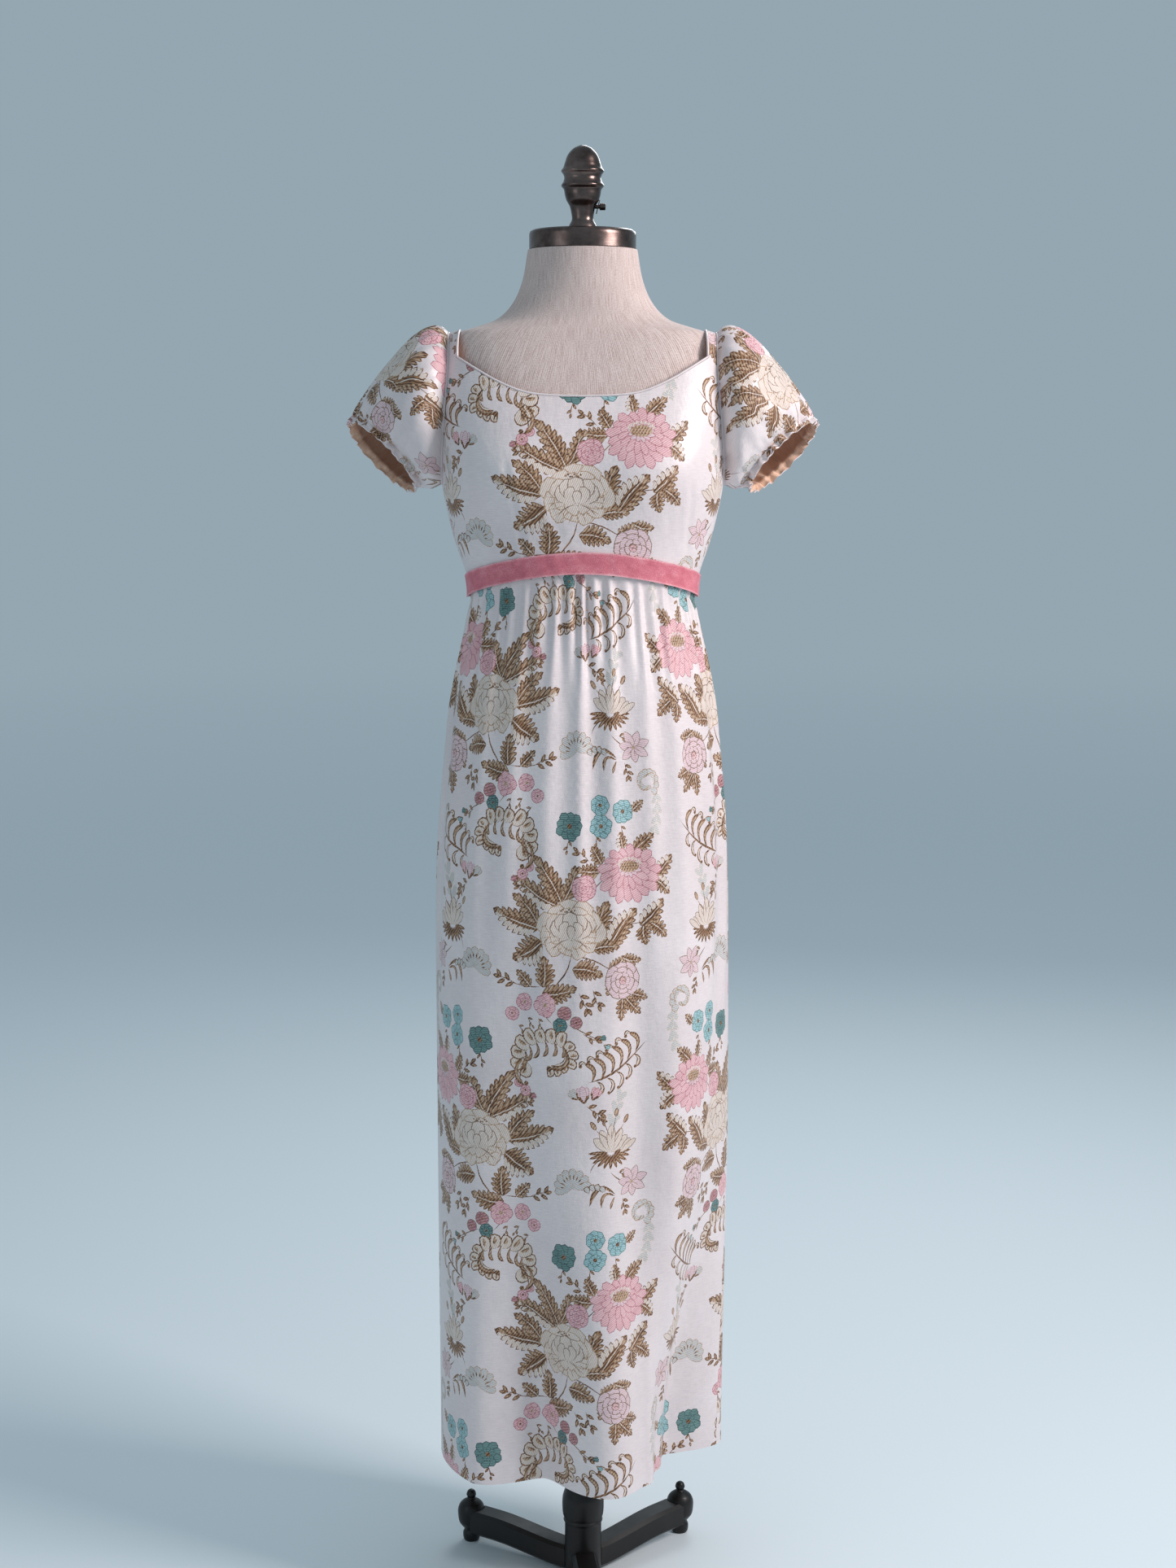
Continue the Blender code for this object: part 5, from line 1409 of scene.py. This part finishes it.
def band_cut():
    """Ribbon with soft creases at the wearer's right."""
    angles = np.linspace(-np.pi, np.pi, 481)
    share = np.linspace(0, 1, 13)[:, None]
    middle = band_middle(angles)
    z = middle + BAND_WIDTH * (share - 0.5)
    radius = gown_radius(angles, z) + BAND_GAP + BAND_THICK
    for turn, lean, height in ((-0.68, 0.10, 0.0007), (-1.22, -0.08, 0.0006), (0.95, 0.06, 0.0004)):
        radius = radius + height * ridge(angles - turn - lean * (share - 0.5), 0.016)
    radius = radius + 0.0002 * np.sin(37 * angles + 3 * share) * np.sin(5 * angles)
    points = polar(radius, angles, z)
    run = along_rows(points)
    return cut_from_grid(run - run[:, 240][:, None], z - middle, points)


band = cloth_object("gown_ribbon", band_cut(), BAND_THICK, [velvet, velvet], 0.003)


def tube_faces(rows, sides, closed=False, ends=None):
    """Faces of a tube through rings of points; ends are faces of one ring in place of a flat end."""
    faces = []
    for k in range(rows if closed else rows - 1):
        ahead = (k + 1) % rows
        for j in range(sides):
            i = (j + 1) % sides
            faces.append((k * sides + j, k * sides + i, ahead * sides + i, ahead * sides + j))
    for face in () if closed else ends or [range(sides)]:
        faces.append(tuple(reversed(face)))
        faces.append(tuple((rows - 1) * sides + i for i in face))
    return faces


def smooth_piece(name, mesh, sharp, body):
    """Adds a piece with smooth shading; edges sharper than some degrees stay hard."""
    mesh.shade_smooth()
    mesh.set_sharp_from_angle(angle=math.radians(sharp))
    return add_piece(name, mesh, body)


def sweep(name, path, ups, outs, halves, finish, closed=False, sides=10):
    """A small rounded profile swept along a path."""
    turns = 2 * np.pi * np.arange(sides) / sides
    up = np.sign(np.sin(turns)) * np.abs(np.sin(turns)) ** 0.7 * halves[0]
    out = np.sign(np.cos(turns)) * np.abs(np.cos(turns)) ** 0.7 * halves[1]
    rings = path[:, None] + ups[:, None] * up[None, :, None] + outs[:, None] * out[None, :, None]
    mesh, layer = new_mesh(name, rings.reshape(-1, 3), tube_faces(len(path), sides, closed), [finish])
    run = np.concatenate([[0], np.cumsum(np.linalg.norm(np.diff(path, axis=0), axis=1))])
    for loop in mesh.loops:
        layer[loop.index].uv = (run[loop.vertex_index // sides], loop.vertex_index % sides * 0.0008)
    return smooth_piece(name, mesh, 60, "form")


# The neckline runs from the centre back over the left shoulder, round the front and back again
runs = ((left_cut, left_neck[::-1]), (front_cut, front_neck[::-1][1:]), (right_cut, right_neck[::-1][1:]))
path, outs = (np.concatenate([getattr(cut, part)[index] for cut, index in runs])
              for part in ("points", "normals"))
ups = np.cross(normed(np.gradient(path, axis=0)), outs)
ups *= np.where((ups[:, 2] < 0) & (np.abs(path[:, 1]) > 0.01), -1, 1)[:, None]
ups = normed(ups)
middle_line = path - outs * BODICE_CLOTH / 2 + ups * (SEAM_GAP + BINDING)
binding = sweep("gown_neckline_binding", middle_line, ups, outs, (BINDING, BINDING), brocade[0])

turns = np.linspace(0, 2 * np.pi, 161)[:-1]
for side, name in ((1, "left"), (-1, "right")):
    ring = (armhole_point(turns) + (SEAM_GAP + 0.0004, 0, 0)) * (side, 1, 1)
    outward = normed((ring - ring.mean(0)) * (0, 1, 1))
    sideways = np.tile((float(side), 0.0, 0.0), (len(ring), 1))
    piping = sweep("gown_armhole_piping_" + name, ring + outward * 0.0003, outward, sideways,
                   (0.0010, 0.0009), brocade[0], closed=True)


# Dress form

def turned(name, rings, finish, body, sharp=35, ends=None):
    """A closed solid through rings of points."""
    count = rings.shape[1]
    faces = tube_faces(len(rings), count, ends=ends)
    mesh, layer = new_mesh(name, rings.reshape(-1, 3), faces, [finish])
    run = np.concatenate([[0], np.cumsum(np.linalg.norm(np.diff(rings, axis=0), axis=-1).mean(1))])
    round_run = np.linalg.norm(np.diff(rings, axis=1), axis=-1).sum(1).max()
    for polygon in mesh.polygons:
        turns_here = [vertex % count for vertex in polygon.vertices]
        wraps = max(turns_here) - min(turns_here) > count / 2
        for loop, vertex, turn in zip(polygon.loop_indices, polygon.vertices, turns_here):
            share = (turn + (count if wraps and turn < count / 2 else 0)) / count
            layer[loop].uv = (share * round_run, run[vertex // count])
    return smooth_piece(name, mesh, sharp, body)


angles = np.linspace(-np.pi, np.pi, 161)[:-1]      # round every turned piece


def circles(profile):
    """Rings round the pole for rows of height and radius."""
    return np.array([polar(radius, angles, z) for z, radius in profile])


def lathe(rows, count, centre=(0.0, 0.0)):
    """Rings through a turned profile of heights and radii, smooth between its rows."""
    z = np.linspace(rows[0, 0], rows[-1, 0], count)
    return polar(through(rows, 1, z)[:, None], angles, z[:, None]) + (*centre, 0.0)


levels = np.concatenate([np.linspace(TORSO_BOTTOM_Z, 1.44, 70), np.linspace(1.444, 1.5685, 60)])[:, None]
outer = polar(section_radius(FORM, angles, levels, FORM_BUST_OUT), angles, levels)
bore = circles([(ROD_TOP_Z, ROD_BORE), (TORSO_BOTTOM_Z, ROD_BORE)])
torso = turned("form_linen_torso", np.concatenate([bore, outer]), linen, "form")

cap_rows = [start + (end - start) * t for start, end in zip(CAP_PROFILE, CAP_PROFILE[1:])
            for t in np.linspace(0, 1, 7)[:-1]] + [CAP_PROFILE[-1]]
cap = turned("form_neck_cap", circles(cap_rows), dark_metal, "form", 25)
finial = turned("form_finial", lathe(FINIAL_PROFILE, 130), dark_metal, "form", 70)
column = turned("stand_turned_column", lathe(COLUMN_PROFILE, 120), dark_wood, "stand", 70)
tube = turned("stand_tube", circles(TUBE_PROFILE), dark_wood, "stand", 40)
feet, legs = {}, {}
for place, degrees in LEG_ANGLES.items():
    turn = math.radians(degrees)
    centre = (LEG_REACH * math.cos(turn), LEG_REACH * math.sin(turn))
    feet[place] = turned("stand_foot_" + place, lathe(FOOT_PROFILE, 90, centre), dark_wood, "stand", 70)
half, inner = LEG_SIZE / 2, LEG_SIZE / 2 - LEG_BEVEL
top_side = [(half, inner)] + [(inner * t, half) for t in (1, 0.5, 0, -0.5, -1)] + [(-half, inner)]
across, up = np.array(top_side + [(-a, -b) for a, b in top_side]).T
leg_ends = [(i, i + 1, 12 - i, 13 - i) for i in range(6)]
start, stop = (np.sqrt((radius + 2 * SEAM_GAP) ** 2 - across ** 2)
               for radius in (COLUMN_RADIUS, FOOT_RADIUS))
end = LEG_REACH - stop
reach = start + (end - start) * np.linspace(0, 1, 25)[:, None]
height = LEG_START_Z + LEG_RISE * smoothstep((reach - 0.020) / 0.110) + up
for place, degrees in LEG_ANGLES.items():
    ahead = np.array((math.cos(math.radians(degrees)), math.sin(math.radians(degrees)), 0.0))
    beside = np.array((-ahead[1], ahead[0], 0.0))
    rings = reach[..., None] * ahead + across[:, None] * beside + height[..., None] * (0, 0, 1)
    legs[place] = turned("stand_leg_" + place, rings, dark_wood, "stand", 30, leg_ends)
screw_rings = [
    np.stack([np.full_like(angles, x), radius * np.cos(angles), LOCK_Z + radius * np.sin(angles)], -1)
    for x, radius in LOCK_PROFILE]
screw = turned("form_lock_screw", np.array(screw_rings), dark_metal, "lock", 40)


# What stands for what

STANDS_FOR = {
    "brocade": {"skirt_front": skirt_front, "skirt_back": skirt_back, "bodice_front": bodice_front,
                "bodice_back_left": bodice_left, "bodice_back_right": bodice_right,
                "sleeve_left": sleeve_left, "sleeve_right": sleeve_right},
    "velvet": {"waist_band": band},
    "binding": {"neckline_binding": binding},
    "linen": {"form_torso": torso},
    "dark_metal": {"neck_cap": cap, "finial": finial, "lock_screw": screw},
    "dark_wood": {"stand_column": column, "pole_tube": tube,
                  **{"foot_" + place: foot for place, foot in feet.items()},
                  **{"leg_" + place: leg for place, leg in legs.items()}},
}
for slot, pieces in STANDS_FOR.items():
    for node, piece in pieces.items():
        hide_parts(node)

for node, finish, slot in (
    ("lock_plate", dark_metal, "dark_metal"), ("form_rod", rod_metal, "rod_metal"),
):
    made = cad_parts[node]
    made.data.materials.clear()
    made.data.materials.append(finish)


# Stage, light and camera

BACKDROP = (0.60, 0.77, 0.88, 1.0)
BACKDROP_STRENGTH = 0.50
PHOTO_HEIGHT = 1927         # pixels
FOCAL_LENGTH = 2950         # pixels of the photo
SENSOR = 36.0
CAMERA_PLACE = (0.006, -2.75, 1.343)
CAMERA_DOWN = 7.85          # degrees

bpy.ops.mesh.primitive_circle_add(vertices=96, radius=45.0, fill_type="NGON", location=(0, 0, 0))
floor = bpy.context.object
floor.name = "floor"
shade = Shade("floor", Base_Color=linear((0.88, 0.91, 0.925)), Roughness=0.8)
far = shade.node("VectorMath", {0: shade.place("Object")}, operation="LENGTH").outputs["Value"]
# The floor fades into the backdrop from about 3 m out
haze = shade.sums("SMOOTH_MIN", shade.mix(far, 1 / 9, -0.35), 1.0, 0.2)
haze = shade.sums("MAXIMUM", haze, 0.0)
glow = shade.node("Emission", {"Color": BACKDROP, "Strength": BACKDROP_STRENGTH})
mixing = shade.node("MixShader", {0: haze, 1: shade.surface.outputs[0], 2: glow.outputs[0]})
shade.put(shade.nodes["Material Output"], {"Surface": mixing.outputs[0]})
floor.data.materials.append(shade.material)


def area_light(name, place, target, size, power, colour):
    data = bpy.data.lights.new(name, "AREA")
    data.shape = "RECTANGLE"
    data.size, data.size_y = size
    data.energy, data.color = power, colour
    made = bpy.data.objects.new(name, data)
    bpy.context.scene.collection.objects.link(made)
    made.location = place
    made.rotation_euler = (Vector(target) - Vector(place)).to_track_quat("-Z", "Y").to_euler()


area_light("key", (2.15, -1.0, 2.35), (0, 0, 1.25), (0.9, 1.2), 68, (1.0, 0.93, 0.92))
area_light("fill", (-2.4, -2.2, 1.6), (0, 0, 1.1), (1.4, 1.8), 6, (0.92, 0.97, 1.0))
area_light("rim", (0.6, 2.4, 2.5), (0, 0, 1.2), (1.2, 1.2), 20, (0.95, 0.98, 1.0))

scene = bpy.context.scene
world = bpy.data.worlds.new("studio")
scene.world = world
scene.view_settings.view_transform = "Standard"
world.use_nodes = True
background = world.node_tree.nodes["Background"].inputs
background["Color"].default_value = BACKDROP
background["Strength"].default_value = BACKDROP_STRENGTH

camera_data = bpy.data.cameras.new("camera")
camera_data.sensor_width = SENSOR
camera_data.sensor_fit = "AUTO"
camera_data.lens = FOCAL_LENGTH / PHOTO_HEIGHT * SENSOR
camera = bpy.data.objects.new("camera", camera_data)
scene.collection.objects.link(camera)
camera.location = CAMERA_PLACE
camera.rotation_euler = (math.radians(90 - CAMERA_DOWN), 0, 0)
scene.camera = camera
